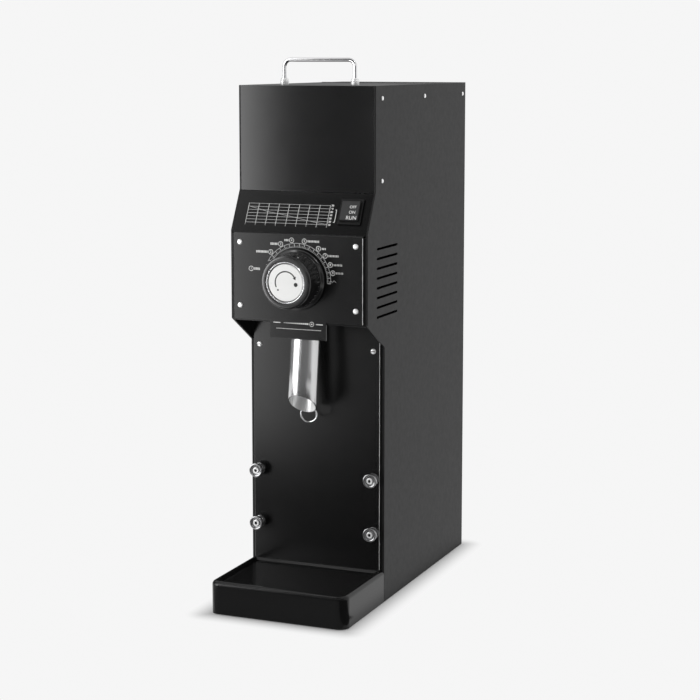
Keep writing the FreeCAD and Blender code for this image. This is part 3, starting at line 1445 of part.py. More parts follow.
# Feed auger: helical flight on a core around the shaft
body = new_body("feed_auger")
auger_front = size("chamber_floor") - size("auger_core_wall")
auger_back = tube_end - size("auger_end_gap")
turned(body, [
    (auger_front, shaft_bore), (auger_front, size("auger_core")),
    (auger_back, size("auger_core")), (auger_back, shaft_bore),
], "YZ", "H_Axis")
flight = new_sketch(body, "YZ")
flight_t = size("auger_thick")
rectangle(flight, auger_front, auger_front + flight_t, size("auger_core") - play, size("auger_flight"))
helix = body.newObject("PartDesign::AdditiveHelix", "feed_auger_flight")
helix.Profile = flight
helix.ReferenceAxis = (flight, ["H_Axis"])
helix.Mode = "pitch-height-angle"
helix.Pitch = size("auger_pitch").number
helix.Height = (auger_back - auger_front - flight_t).number
helix.setExpression("Pitch", size("auger_pitch").text)
helix.setExpression("Height", (auger_back - auger_front - flight_t).text)
body.Tip = helix
doc.recompute()
lift_to_axis(body)

# Motor: shaft, end shields, housing, windings, rotor and fan
shield_t = size("shield_thick")
housing_front = motor_front + shield_t
housing_back = housing_front + size("housing_length")
motor_back = housing_back + shield_t
shaft_r = size("shaft_radius")
journal = size("bearing_race")
tail = motor_back + size("shaft_tail")
body = new_body("motor_shaft")
turned(body, [
    (size("shaft_nose"), 0), (size("shaft_nose"), shaft_r - journal),
    (size("shaft_nose") + journal, shaft_r),
    (housing_front + shield_t, shaft_r), (housing_front + shield_t, shaft_r + journal),
    (housing_back - shield_t, shaft_r + journal), (housing_back - shield_t, shaft_r), (tail, shaft_r),
    (tail, 0),
], "YZ", "H_Axis")
lift_to_axis(body)
seat_r = size("bearing_radius")
hub_out = seat_r + size("housing_wall")
bearing_w = size("bearing_width")
shield_r = size("shield_radius")
for label, outer, inner, hand in (
    ("front_shield", motor_front, housing_front, 1), ("rear_shield", motor_back, housing_back, -1),
):
    body = new_body(label)
    ledge = outer + journal * hand
    hub_end = ledge + bearing_w * hand
    turned(body, [
        (outer, shaft_r + play), (outer, shield_r), (inner, shield_r), (inner, hub_out), (hub_end, hub_out),
        (hub_end, seat_r), (ledge, seat_r), (ledge, shaft_r + play),
    ], "YZ", "H_Axis")
    lift_to_axis(body)
body = new_body("shaft_bearings")
dip = size("bearing_recess")
for first_y in (motor_front + journal, motor_back - journal - bearing_w):
    last_y = first_y + bearing_w
    turned(body, [
        (first_y, shaft_bore), (first_y, shaft_r + journal), (first_y + dip, shaft_r + journal),
        (first_y + dip, seat_r - journal), (first_y, seat_r - journal), (first_y, seat_r), (last_y, seat_r),
        (last_y, seat_r - journal), (last_y - dip, seat_r - journal), (last_y - dip, shaft_r + journal),
        (last_y, shaft_r + journal), (last_y, shaft_bore),
    ], "YZ", "H_Axis")
lift_to_axis(body)
body = new_body("motor_housing")
bore_r = size("housing_bore")
turned(body, [
    (housing_front, bore_r), (housing_front, shield_r), (housing_back, shield_r), (housing_back, bore_r),
], "YZ", "H_Axis")
fin = new_sketch(body, "XZ", housing_front + shield_t)
fin_w = size("housing_fin_width") / 2
rectangle(fin, -fin_w, fin_w, shield_r - fin_w, shield_r + size("housing_fin"))
rib = pad(body, fin, size("housing_length") - shield_t * 2, 1)
polar(body, rib, size("housing_fin_count"))
lift_to_axis(body)
stack = size("stator_length")
core_front = (housing_front + housing_back - stack) / 2
core_back = core_front + stack
body = new_body("stator_core")
turned(body, [
    (core_front, size("stator_bore")), (core_front, bore_r), (core_back, bore_r),
    (core_back, size("stator_bore")),
], "YZ", "H_Axis")
slot = new_sketch(body, "XZ", core_front)
slot_w = size("slot_width") / 2
rectangle(slot, -slot_w, slot_w, size("stator_bore") - slot_w, size("stator_bore") + size("slot_depth"))
cut = sink(body, slot, stack, 1)
polar(body, cut, size("slot_count"))
lift_to_axis(body)
body = new_body("stator_windings")
coil = size("winding_length")
for first_y in (core_front - coil, core_back):
    turned(body, [
        (first_y, size("winding_inner")), (first_y, size("winding_outer")),
        (first_y + coil, size("winding_outer")),
        (first_y + coil, size("winding_inner")),
    ], "YZ", "H_Axis")
soften(body, size("winding_round"), lambda e: (
    lies(e, "y", core_front - coil) or lies(e, "y", core_back + coil)))
lift_to_axis(body)
body = new_body("rotor_core")
rotor_r = size("stator_bore") - size("air_gap")
turned(body, [
    (core_front, shaft_r + journal), (core_front, rotor_r), (core_back, rotor_r),
    (core_back, shaft_r + journal),
], "YZ", "H_Axis")
lift_to_axis(body)
body = new_body("cooling_fan")
fan_front = motor_back + size("fan_setback")
fan_plate = size("fan_plate")
turned(body, [
    (fan_front, shaft_bore), (fan_front, size("fan_radius")), (fan_front + fan_plate, size("fan_radius")),
    (fan_front + fan_plate, size("fan_hub")), (fan_front + size("fan_width"), size("fan_hub")),
    (fan_front + size("fan_width"), shaft_bore),
], "YZ", "H_Axis")
blade = new_sketch(body, "XZ", fan_front + fan_plate)
blade_w = size("fan_blade_width") / 2
rectangle(blade, -blade_w, blade_w, size("fan_hub") - blade_w, size("fan_radius") - blade_w)
blade_pad = pad(body, blade, size("fan_width") - fan_plate, 1)
polar(body, blade_pad, size("fan_blades"))
lift_to_axis(body)
body = new_body("fan_cover")
shell = size("fan_cover_wall")
cover_end = motor_back + size("fan_cover_length")
turned(body, [
    (motor_back, shield_r - shell), (motor_back, shield_r), (cover_end, shield_r), (cover_end, 0),
    (cover_end - shell, 0), (cover_end - shell, shield_r - shell),
], "YZ", "H_Axis")
grille = new_sketch(body, "XZ", cover_end)
circle(grille, 0, size("fan_radius") / 2, size("fan_hub") / 2)
cut = sink(body, grille, shell, -1)
polar(body, cut, size("fan_blades"))
lift_to_axis(body)

# Motor cradle: base plate with two saddles
body = new_body("motor_cradle")
cradle = size("cradle_half_width")
cradle_front = housing_front + shield_t
cradle_back = cradle_front + size("cradle_length")
plate_t = size("cradle_wall")
slab(body, "XY", shelf, plate_t, 1, -cradle, cradle, cradle_front, cradle_back)
saddle = new_sketch(body, "XY", shelf + plate_t)
rectangle(saddle, -cradle, cradle, cradle_front, cradle_front + plate_t * 2)
rectangle(saddle, -cradle, cradle, cradle_back - plate_t * 2, cradle_back)
pad(body, saddle, shield_r / 2)
drill(body, "XZ", cradle_front, size("cradle_length"), 1, [(as_size(0), axis_z)],
      shield_r + size("housing_fin") + size("knob_fit"))

# Run capacitor and control relay on the floor of the frame
body = new_body("run_capacitor")
can = new_sketch(body, "XY", floor_f + steel)
circle(can, size("capacitor_x"), size("capacitor_line"), size("capacitor_radius"))
pad(body, can, size("capacitor_height"))
soften(body, size("stud_recess"), lambda e: lies(e, "z", floor_f + steel + size("capacitor_height")))
body = new_body("control_relay")
relay_half = size("relay_half_width")
relay_x = size("relay_x")
relay_y = size("relay_line")
relay_top = floor_f + steel + size("relay_height")
slab(body, "XY", floor_f + steel, size("relay_height"), 1, relay_x - relay_half, relay_x + relay_half,
     relay_y,
     relay_y + size("relay_length"))
gutter = new_sketch(body, "XY", relay_top)
for side in (-1, 1):
    edge_x = relay_x + relay_half * side
    inner_x = relay_x + relay_half / 2 * side
    low_x, high_x = (edge_x, inner_x) if side < 0 else (inner_x, edge_x)
    rectangle(gutter, low_x, high_x, relay_y, relay_y + size("relay_length"))
sink(body, gutter, size("relay_gutter"), -1)

# Switch: bezel with its case and the rocker on the slanted front
body = new_body("switch_body")
slanted_block(body, switch_left - rim, switch_right + rim, head - rim, switch_foot + rim, zero,
              size("bezel_proud"), "Pad")
slanted_block(body, switch_left - bezel, switch_right + bezel, head - bezel, switch_foot + bezel,
              -size("switch_case_depth"), zero, "Pad")
slanted_block(body, switch_left, switch_right, head, switch_foot, -size("rocker_depth") * 2,
              size("bezel_proud") * 2, "Pocket")
body = new_body("switch_rocker")
rocker = new_sketch(body, "YZ", switch_left + size("rocker_gap") / 2)
slack = size("rocker_gap")
taper = size("rocker_taper")
middle_s = (head + switch_foot) / 2
deep = size("rocker_depth")
outline(rocker, [
    slant(head + slack, zero), slant(head + slack + taper, size("rocker_proud")),
    slant(switch_foot - slack - taper, size("rocker_proud")), slant(switch_foot - slack, zero),
    slant(middle_s + deep, -deep), slant(middle_s - deep, -deep),
])
pad(body, rocker, size("switch_width") - size("rocker_gap"))
rocker_top = slant(head + slack + taper, size("rocker_proud"))[1].number
long_share = 0.9
long_edge = size("switch_width").number * long_share
soften(body, taper, lambda e: (
    not runs(e, "x") and e.Length > long_edge and e.BoundBox.ZMax > rocker_top - SAME))

# Power inlet: flanged socket with three contact pins
body = new_body("power_inlet")
inlet_x = size("inlet_x")
inlet_z = size("inlet_height")
cover_out = rear_in + sheet_t
slab(body, "XZ", cover_out, size("inlet_wall"), 1, inlet_x - size("inlet_half_width"),
     inlet_x + size("inlet_half_width"),
     inlet_z - size("inlet_half_height"), inlet_z + size("inlet_half_height"))
soften(body, size("inlet_wall") * 2, lambda e: runs(e, "y"))
slab(body, "XZ", cover_out, size("inlet_depth"), -1, inlet_x - case_half, inlet_x + case_half,
     inlet_z - case_rise,
     inlet_z + case_rise)
socket = new_sketch(body, "XZ", cover_out + size("inlet_wall"))
wide = size("inlet_mouth_half_width")
tall = size("inlet_mouth_half_height")
rectangle(socket, inlet_x - wide, inlet_x + wide, inlet_z - tall, inlet_z + tall)
sink(body, socket, size("inlet_depth"), -1)
body = new_body("inlet_pins")
pins = new_sketch(body, "XZ", cover_out + size("inlet_wall") - size("inlet_depth"))
for dx, dz in ((-size("pin_spacing"), zero), (size("pin_spacing"), zero), (zero, size("pin_rise"))):
    rectangle(pins, inlet_x + dx - size("pin_half_height"), inlet_x + dx + size("pin_half_height"),
              inlet_z + dz - size("pin_half_width"), inlet_z + dz + size("pin_half_width"))
pad(body, pins, size("pin_reach"), 1)

# Overload switch and its reset button
body = new_body("overload_switch")
reset_x = size("reset_x")
spot = [(reset_x, inlet_z)]
barrel = new_sketch(body, "XZ", cover_out)
circle(barrel, reset_x, inlet_z, size("reset_radius"))
pad(body, barrel, size("reset_depth"), -1)
collar = new_sketch(body, "XZ", cover_out)
circle(collar, reset_x, inlet_z, size("reset_collar_radius"))
pad(body, collar, size("reset_collar"), 1)
drill(body, "XZ", cover_out + size("reset_collar"), size("reset_depth") - size("reset_collar"), -1, spot,
      size("reset_button_radius") + size("run_fit"))
body = new_body("reset_button")
button = new_sketch(body, "XZ", cover_out + size("reset_button_reach"))
circle(button, reset_x, inlet_z, size("reset_button_radius"))
pad(body, button, size("reset_depth") / 2, -1)

doc.recompute()
for item in doc.Objects:
    bad = [s for s in item.State if s in ("Invalid", "Error")]
    assert not bad, "%s %s" % (item.Name, item.State)
for item in doc.Objects:
    if item.TypeId == "PartDesign::Body":
        shape = item.Shape
        assert not shape.isNull() and shape.isValid() and shape.Solids, item.Label
        shape.exportStep("parts/%s.step" % item.Label)
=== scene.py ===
import math

import bmesh
import bpy
from mathutils import Matrix, Vector


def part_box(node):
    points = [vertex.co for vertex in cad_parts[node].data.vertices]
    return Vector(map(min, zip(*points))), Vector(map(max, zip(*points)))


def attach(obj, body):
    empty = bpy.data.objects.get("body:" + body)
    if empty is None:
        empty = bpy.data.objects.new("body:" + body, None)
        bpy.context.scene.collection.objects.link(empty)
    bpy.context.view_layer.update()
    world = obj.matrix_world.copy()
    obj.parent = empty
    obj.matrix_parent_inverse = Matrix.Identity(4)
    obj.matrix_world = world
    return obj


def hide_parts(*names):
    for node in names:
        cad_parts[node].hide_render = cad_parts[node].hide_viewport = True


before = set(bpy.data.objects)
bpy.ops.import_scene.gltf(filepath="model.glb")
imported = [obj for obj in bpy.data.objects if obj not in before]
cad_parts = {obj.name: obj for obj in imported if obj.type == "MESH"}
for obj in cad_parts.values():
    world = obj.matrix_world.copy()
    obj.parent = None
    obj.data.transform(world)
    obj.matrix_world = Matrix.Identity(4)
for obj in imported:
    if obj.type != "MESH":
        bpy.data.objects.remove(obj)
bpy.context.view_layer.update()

# Base casting: hollow cast iron foot with a shallow tray ahead of the body. It is
# ground flat, dipped in thick black enamel and carries the frame and both covers.
mm = 0.001


def finish(name, colour, dull, metal=0.0, shine=0.5, cloud=0.1, patch=40.0, grain=0.6, tooth=0.12,
           drawn=(1.0, 1.0, 1.0), uneven=0.15, edge_wear_and_highlight=0.0, edge_wear_and_highlight_tone=(0.3, 0.3, 0.31)):
    """Surface with clouded colour, uneven gloss, a fine tooth and, where asked, paler edges that are part
    rubbed wear and part painted highlight. Sizes in mm.
    """
    skin = bpy.data.materials.new(name)
    skin.use_nodes = True
    tree = skin.node_tree
    shader = tree.nodes["Principled BSDF"]
    shader.inputs["Metallic"].default_value = metal
    shader.inputs["Specular IOR Level"].default_value = shine

    place = tree.nodes.new("ShaderNodeTexCoord")
    clouds = tree.nodes.new("ShaderNodeTexNoise")
    clouds.inputs["Scale"].default_value = 1.0 / (patch * mm)
    clouds.inputs["Detail"].default_value = 4.0
    tree.links.new(place.outputs["Object"], clouds.inputs["Vector"])
    tint = tree.nodes.new("ShaderNodeMix")
    tint.data_type = "RGBA"
    tint.inputs[6].default_value = (*[part * (1.0 - cloud) for part in colour], 1.0)
    tint.inputs[7].default_value = (*[part * (1.0 + cloud) for part in colour], 1.0)
    tree.links.new(clouds.outputs["Fac"], tint.inputs["Factor"])
    gloss = tree.nodes.new("ShaderNodeMapRange")
    gloss.inputs["From Min"].default_value = 0.3
    gloss.inputs["From Max"].default_value = 0.7
    gloss.inputs["To Min"].default_value = dull * (1.0 - uneven)
    gloss.inputs["To Max"].default_value = dull * (1.0 + uneven)
    tree.links.new(clouds.outputs["Fac"], gloss.inputs["Value"])

    stretch = tree.nodes.new("ShaderNodeMapping")
    stretch.inputs["Scale"].default_value = drawn
    fine = tree.nodes.new("ShaderNodeTexNoise")
    fine.inputs["Scale"].default_value = 1.0 / (grain * mm)
    fine.inputs["Detail"].default_value = 3.0
    bump = tree.nodes.new("ShaderNodeBump")
    bump.inputs["Strength"].default_value = tooth
    bump.inputs["Distance"].default_value = 0.05 * mm
    tree.links.new(place.outputs["Object"], stretch.inputs["Vector"])
    tree.links.new(stretch.outputs["Vector"], fine.inputs["Vector"])
    tree.links.new(fine.outputs["Fac"], bump.inputs["Height"])
    tree.links.new(bump.outputs["Normal"], shader.inputs["Normal"])

    base, rough = tint.outputs[2], gloss.outputs["Result"]
    # Paler colour along the edges found by the bevel node: part rubbed wear, part a painted highlight on the
    # edges.
    if edge_wear_and_highlight:
        edge = tree.nodes.new("ShaderNodeBevel")
        edge.samples = 4
        edge.inputs["Radius"].default_value = 0.7 * mm
        shape = tree.nodes.new("ShaderNodeNewGeometry")
        turn = tree.nodes.new("ShaderNodeVectorMath")
        turn.operation = "DOT_PRODUCT"
        tree.links.new(edge.outputs["Normal"], turn.inputs[0])
        tree.links.new(shape.outputs["Normal"], turn.inputs[1])
        edge_share = tree.nodes.new("ShaderNodeMapRange")
        edge_share.inputs["From Min"].default_value = 0.995
        edge_share.inputs["From Max"].default_value = 0.8
        edge_share.inputs["To Max"].default_value = edge_wear_and_highlight
        tree.links.new(turn.outputs["Value"], edge_share.inputs["Value"])
        thin = tree.nodes.new("ShaderNodeMath")
        thin.operation = "MULTIPLY"
        tree.links.new(edge_share.outputs["Result"], thin.inputs[0])
        tree.links.new(clouds.outputs["Fac"], thin.inputs[1])
        edge_mix = tree.nodes.new("ShaderNodeMix")
        edge_mix.data_type = "RGBA"
        edge_mix.inputs[7].default_value = (*edge_wear_and_highlight_tone, 1.0)
        tree.links.new(thin.outputs["Value"], edge_mix.inputs["Factor"])
        tree.links.new(base, edge_mix.inputs[6])
        base = edge_mix.outputs[2]
    tree.links.new(base, shader.inputs["Base Color"])
    tree.links.new(rough, shader.inputs["Roughness"])
    return skin


def dress(skin, *names):
    """Gives CAD nodes their finish."""
    for name in names:
        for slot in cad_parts[name].material_slots:
            slot.material = skin


def ease(radius, *names):
    """Rolls the sharp sheet edges of CAD nodes over by a small radius."""
    for name in names:
        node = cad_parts[name]
        weld = node.modifiers.new("close_seams", "WELD")
        weld.merge_threshold = 0.01 * mm
        roll = node.modifiers.new("rolled_edges", "BEVEL")
        roll.width = radius * mm
        roll.segments = 2
        roll.limit_method = "ANGLE"
        roll.angle_limit = math.radians(40.0)
        flat = node.modifiers.new("flat_faces", "WEIGHTED_NORMAL")
        flat.keep_sharp = True


enamel = finish("gloss_enamel", (0.005, 0.005, 0.0051), 0.18, shine=0.25, patch=15.0, grain=2.5, tooth=0.03,
                uneven=0.06, edge_wear_and_highlight=0.25, edge_wear_and_highlight_tone=(0.09, 0.09, 0.09))
dress(enamel, "base_casting")

# Rubber feet: four moulded buffers pressed up under the casting, each held by a
# screw. They carry the weight and stop the machine creeping on the counter.
foot_rubber = finish("foot_rubber", (0.022, 0.022, 0.022), 0.75, shine=0.3, grain=0.4, tooth=0.3)
dress(foot_rubber, "rubber_feet")

# Chassis frame and motor cradle: thick folded steel, spot welded and zinc plated.
# The frame stands on the casting and the cradle bolts the motor down on its shelf.
zinc = finish("zinc_plate", (0.42, 0.43, 0.44), 0.36, metal=1.0, cloud=0.18, patch=12.0, grain=0.5, tooth=0.1)
dress(zinc, "chassis_frame", "motor_cradle")
ease(0.4, "chassis_frame", "motor_cradle")

# Motor: finned die-cast housing between two end shields, with a stack of steel
# laminations, copper windings, a rotor on ball bearings and a fan under its cover.


def ribbed(skin, axis, pitch, depth):
    """Adds fine even lines across an axis to a finish, as laminations, wire or threads show."""
    tree = skin.node_tree
    bump = next(node for node in tree.nodes if node.type == "BUMP")
    place = next(node for node in tree.nodes if node.type == "TEX_COORD")
    wave = tree.nodes.new("ShaderNodeTexWave")
    wave.bands_direction = axis
    wave.inputs["Scale"].default_value = 0.314 / (pitch * mm)
    lines = tree.nodes.new("ShaderNodeBump")
    lines.inputs["Strength"].default_value = depth
    lines.inputs["Distance"].default_value = 0.2 * mm
    tree.links.new(place.outputs["Object"], wave.inputs["Vector"])
    tree.links.new(wave.outputs["Fac"], lines.inputs["Height"])
    tree.links.new(lines.outputs["Normal"], bump.inputs["Normal"])
    return skin


cast_alloy = finish("cast_alloy", (0.43, 0.43, 0.44), 0.42, metal=1.0, cloud=0.12, patch=8.0, grain=0.8,
                    tooth=0.35)
laminations = ribbed(
    finish("steel_laminations", (0.2, 0.2, 0.21), 0.4, metal=1.0, cloud=0.2, patch=6.0), "Y", 0.5, 0.6)
copper_wire = ribbed(
    finish("enamelled_copper", (0.42, 0.13, 0.035), 0.3, metal=0.9, cloud=0.2, patch=5.0), "X", 0.9, 0.8)
turned_steel = ribbed(
    finish("turned_steel", (0.5, 0.5, 0.51), 0.24, metal=1.0, cloud=0.08, patch=10.0), "Y", 0.3, 0.12)
fan_moulding = finish("fan_moulding", (0.03, 0.03, 0.032), 0.5, shine=0.4, grain=0.5, tooth=0.2)
cover_paint = finish("cover_paint", (0.06, 0.06, 0.062), 0.45, shine=0.4, grain=0.7, tooth=0.25)
dress(cast_alloy, "motor_housing", "front_shield", "rear_shield")
dress(laminations, "stator_core", "rotor_core")
dress(copper_wire, "stator_windings")
dress(turned_steel, "motor_shaft", "shaft_bearings")
dress(fan_moulding, "cooling_fan")
dress(cover_paint, "fan_cover")

# Grinding head: cast chamber with its cover and bolts, two hardened flat burrs
# cut with slanted grooves, the carrier and the helical auger that feeds them.
chamber_cast = finish("chamber_cast", (0.3, 0.3, 0.31), 0.5, metal=1.0, cloud=0.15, patch=7.0, grain=0.9,
                      tooth=0.5)
burr_steel = finish("ground_burr_steel", (0.36, 0.36, 0.37), 0.22, metal=1.0, cloud=0.1, patch=4.0, grain=0.3,
                    tooth=0.1, edge_wear_and_highlight=0.5, edge_wear_and_highlight_tone=(0.7, 0.7, 0.7))
black_oxide = finish("black_oxide", (0.03, 0.03, 0.031), 0.35, metal=0.6, shine=0.5, patch=3.0, grain=0.3)
dress(chamber_cast, "grinding_chamber", "chamber_cover", "burr_carrier")
dress(burr_steel, "stationary_burr", "rotating_burr", "feed_auger")
dress(black_oxide, "chamber_bolts")

# Fineness drive: brass bush in the chamber cover, a threaded drum that turns with
# the dial, and the grooved spindle that the drum pushes against the turning burr.
bush_brass = ribbed(
    finish("turned_brass", (0.58, 0.4, 0.13), 0.25, metal=1.0, cloud=0.1, patch=8.0), "Y", 0.4, 0.15)
dress(bush_brass, "dial_bush")
dress(turned_steel, "adjusting_drum", "thrust_spindle")

# Electrical parts: capacitor in a drawn can, relay and inlet in black mouldings,
# plated contact pins and the overload switch with its red reset button.
can_alloy = finish("drawn_can", (0.62, 0.62, 0.63), 0.3, metal=1.0, cloud=0.06, patch=15.0, grain=0.25,
                   tooth=0.1, drawn=(1.0, 0.03, 1.0))
black_moulding = finish("black_moulding", (0.02, 0.02, 0.0205), 0.4, shine=0.4, grain=0.45, tooth=0.25)
pin_plate = finish("pin_plate", (0.68, 0.66, 0.6), 0.22, metal=1.0, cloud=0.06, patch=3.0, grain=0.3,
                   tooth=0.05)
button_red = finish("button_red", (0.42, 0.02, 0.015), 0.35, grain=0.4, tooth=0.1)
dress(can_alloy, "run_capacitor")
dress(black_moulding, "control_relay", "power_inlet", "overload_switch")
dress(pin_plate, "inlet_pins")
dress(button_red, "reset_button")

# Hopper bin: folded stainless box that narrows to the feed throat. The beans slide
# down its satin inner walls; it hangs by its rim inside the covers.
bin_steel = finish("satin_bin_steel", (0.6, 0.6, 0.61), 0.3, metal=1.0, cloud=0.06, patch=25.0, grain=0.25,
                   tooth=0.1, drawn=(1.0, 1.0, 0.02))
dress(bin_steel, "hopper_bin")

# Side covers, rear cover and top strip: folded sheet in a flat black powder coat.
# Eight louvre slots are punched through each side; small plated screws hold them.
powder_coat = finish("powder_coat", (0.008, 0.008, 0.0082), 0.5, shine=0.2, cloud=0.03, patch=6.0, grain=0.55,
                     tooth=0.16, uneven=0.05, edge_wear_and_highlight=0.2, edge_wear_and_highlight_tone=(0.2, 0.2, 0.2))
# This chrome has a near-white, partly matt base: that pale matt part is a painted highlight standing in for
# chrome reflections.
chrome_with_painted_sheen = finish("chrome_with_painted_sheen", (0.9, 0.9, 0.9), 0.32, metal=0.55, cloud=0.05, patch=2.0, grain=0.3,
                      tooth=0.05)
dress(powder_coat, "left_side_cover", "right_side_cover", "rear_cover", "top_rear_cover")
ease(0.5, "left_side_cover", "right_side_cover", "top_rear_cover")
dress(chrome_with_painted_sheen, "cover_screws")

# Upper front panel: flat sheet in a deep gloss, the brightest black on the machine.
# It closes the front of the hopper above the chart.
gloss_black = finish("gloss_black", (0.0035, 0.0035, 0.0037), 0.13, shine=0.56, cloud=0.05, patch=15.0,
                     grain=3.0, tooth=0.03, uneven=0.05, edge_wear_and_highlight=0.3)
dress(gloss_black, "upper_front_panel")
ease(0.3, "upper_front_panel")

# Chart panel, control panel, lower panel and underside: laser cut steel sheet with
# a half gloss black coat, held by screws into the folded flanges of the covers.
chart_black = finish("chart_black", (0.0045, 0.0045, 0.0046), 0.22, shine=0.24, cloud=0.05, patch=10.0,
                     grain=0.7, tooth=0.08, uneven=0.05, edge_wear_and_highlight=0.3)
panel_black = finish("panel_black", (0.0028, 0.0028, 0.0029), 0.23, shine=0.34, cloud=0.05, patch=15.0,
                     grain=0.9, tooth=0.025, uneven=0.05, edge_wear_and_highlight=0.3, edge_wear_and_highlight_tone=(0.32, 0.32, 0.32))
dress(chart_black, "chart_panel", "underside_panel")
dress(panel_black, "control_panel", "lower_front_panel")
ease(0.3, "chart_panel", "underside_panel")

# Panel screws: chromed steel, four domed at the corners of the control panel and
# two slotted above the studs.
dress(chrome_with_painted_sheen, "control_panel_screws", "lower_panel_screws")

# Printing on the slanted chart: screen printed pale ink, a grid with nine upright
# and seven level lines, a falling curve, plain numbers and a bracket.
ink_grey = finish("screen_ink_grey", (0.5, 0.5, 0.5), 0.6, shine=0.3, cloud=0.15, patch=2.0, grain=0.2,
                  tooth=0.1)
ink_white = finish("screen_ink_white", (0.78, 0.78, 0.77), 0.6, shine=0.3, cloud=0.12, patch=2.0, grain=0.2,
                   tooth=0.1)


def piece(name, shape, skin, body):
    """Turns a finished mesh into a piece that rides on a body."""
    mesh = bpy.data.meshes.new(name)
    bmesh.ops.recalc_face_normals(shape, faces=shape.faces)
    shape.to_mesh(mesh)
    shape.free()
    mesh.materials.append(skin)
    thing = bpy.data.objects.new(name, mesh)
    bpy.context.scene.collection.objects.link(thing)
    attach(thing, body)
    return thing


def bar(shape, start, end, width):
    """Ink line between two points of a plate, in mm."""
    start, end = Vector(start), Vector(end)
    side = (end - start).normalized().orthogonal() * width / 2
    corners = (start - side, end - side, end + side, start + side)
    shape.faces.new([shape.verts.new((*corner, 0.0)) for corner in corners])


def dot(shape, middle, radius, points=20):
    """Round spot of ink."""
    shape.faces.new([
        shape.verts.new((middle[0] + radius * math.cos(turn), middle[1] + radius * math.sin(turn), 0.0))
        for turn in (math.tau * step / points for step in range(points))
    ])


def arc(shape, middle, radius, width, begin=0.0, end=math.tau, points=40):
    """Ink ring or part of one."""
    edges = []
    for step in range(points + 1):
        turn = begin + (end - begin) * step / points
        ray = Vector((math.cos(turn), math.sin(turn)))
        edges.append([
            shape.verts.new((*(Vector(middle) + ray * reach), 0.0))
            for reach in (radius - width / 2, radius + width / 2)
        ])
    for (inner, outer), (next_inner, next_outer) in zip(edges, edges[1:]):
        shape.faces.new((inner, outer, next_outer, next_inner))


def figures(shape, text, middle, height, heavy=0.0):
    """Plain printed figures centred on a point of a plate, in heavier print where asked."""
    curve = bpy.data.curves.new("figures", "FONT")
    curve.body = text
    curve.size = height
    curve.offset = heavy
    curve.align_x = "CENTER"
    curve.align_y = "CENTER"
    writer = bpy.data.objects.new("figures", curve)
    bpy.context.scene.collection.objects.link(writer)
    bpy.context.view_layer.update()
    drawn = writer.evaluated_get(bpy.context.evaluated_depsgraph_get())
    letters = bpy.data.meshes.new_from_object(drawn)
    letters.transform(Matrix.Translation((*middle, 0.0)))
    shape.from_mesh(letters)
    bpy.data.objects.remove(writer)
    bpy.data.curves.remove(curve)
    bpy.data.meshes.remove(letters)


def printed(name, shape, plate, skin, body, thick=0.05):
    """Lays flat ink on a plate and gives it the thickness of a screen print."""
    shape.transform(plate @ Matrix.Scale(mm, 4))
    ink = piece(name, shape, skin, body)
    film = ink.modifiers.new("ink_film", "SOLIDIFY")
    film.thickness = thick * mm
    film.offset = 0.0
    return ink


chart_low, chart_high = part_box("chart_panel")
half_gap = 0.2
chart_head = Vector((0.0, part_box("upper_front_panel")[0].y, chart_high.z + half_gap * mm))
chart_foot = Vector((0.0, chart_low.y, chart_low.z))
chart_up = (chart_head - chart_foot).normalized()
chart_out = Vector((1.0, 0.0, 0.0)).cross(chart_up)


def slanted_plate(out):
    """Plane of the slanted chart: x to the right, y up the slope from its head, raised by out mm."""
    spot = chart_head + chart_out * out * mm
    return Matrix((
        (1.0, chart_up.x, chart_out.x, spot.x),
        (0.0, chart_up.y, chart_out.y, spot.y),
        (0.0, chart_up.z, chart_out.z, spot.z),
        (0.0, 0.0, 0.0, 1.0),
    ))


ink_raise, second_ink_raise = 0.02, 0.07
columns, rows = 9, 7
grid_left, grid_right = -70.8, 34.0
grid_low, grid_high = -40.8, -16.6
upright_line, level_line, line_tail, line_head = 0.5, 0.42, 1.4, 0.4
foot_figure, foot_figure_drop = 2.2, 2.8
side_figure, side_figure_place, side_figure_weight, side_figure_step = 3.1, 36.9, 0.16, 10
grid, level_lines = bmesh.new(), bmesh.new()
for column in range(columns):
    across = grid_left + (grid_right - grid_left) * column / (columns - 1)
    bar(grid, (across, grid_low - line_tail), (across, grid_high + line_head), upright_line)
    figures(grid, str(column + 1), (across, grid_low - foot_figure_drop), foot_figure)
for row in range(rows):
    level = grid_low + (grid_high - grid_low) * row / (rows - 1)
    bar(level_lines, (grid_left, level), (grid_right, level), level_line)
    figure = str(side_figure_step * (row + 1))
    figures(grid, figure, (side_figure_place, level), side_figure, side_figure_weight)
printed("chart_level_lines", level_lines, slanted_plate(ink_raise), ink_grey, "casing")

curve_points = (
    (-70.6, -20.4), (-58.0, -23.2), (-44.5, -26.8), (-32.0, -28.8), (-18.6, -30.9), (-5.0, -33.6),
    (8.4, -36.4), (21.0, -38.5), (33.5, -40.2),
)
curve_line = 0.4
curve = bmesh.new()
for start, end in zip(curve_points, curve_points[1:]):
    bar(curve, start, end, curve_line)
for spot in curve_points[1:-1]:
    dot(curve, spot, curve_line)
bracket_line, bracket_right, bracket_high, bracket_low = 0.8, 42.8, -21.8, -37.2
low_arm, high_arm = 1.9, 1.4
bar(grid, (bracket_right, bracket_high), (bracket_right, bracket_low), bracket_line)
bar(grid, (bracket_right - low_arm, bracket_low), (bracket_right, bracket_low), bracket_line)
bar(grid, (bracket_right - high_arm, bracket_high), (bracket_right, bracket_high), bracket_line)
printed("chart_curve", curve, slanted_plate(second_ink_raise), ink_grey, "casing")
printed("chart_grid", grid, slanted_plate(ink_raise), ink_white, "casing")

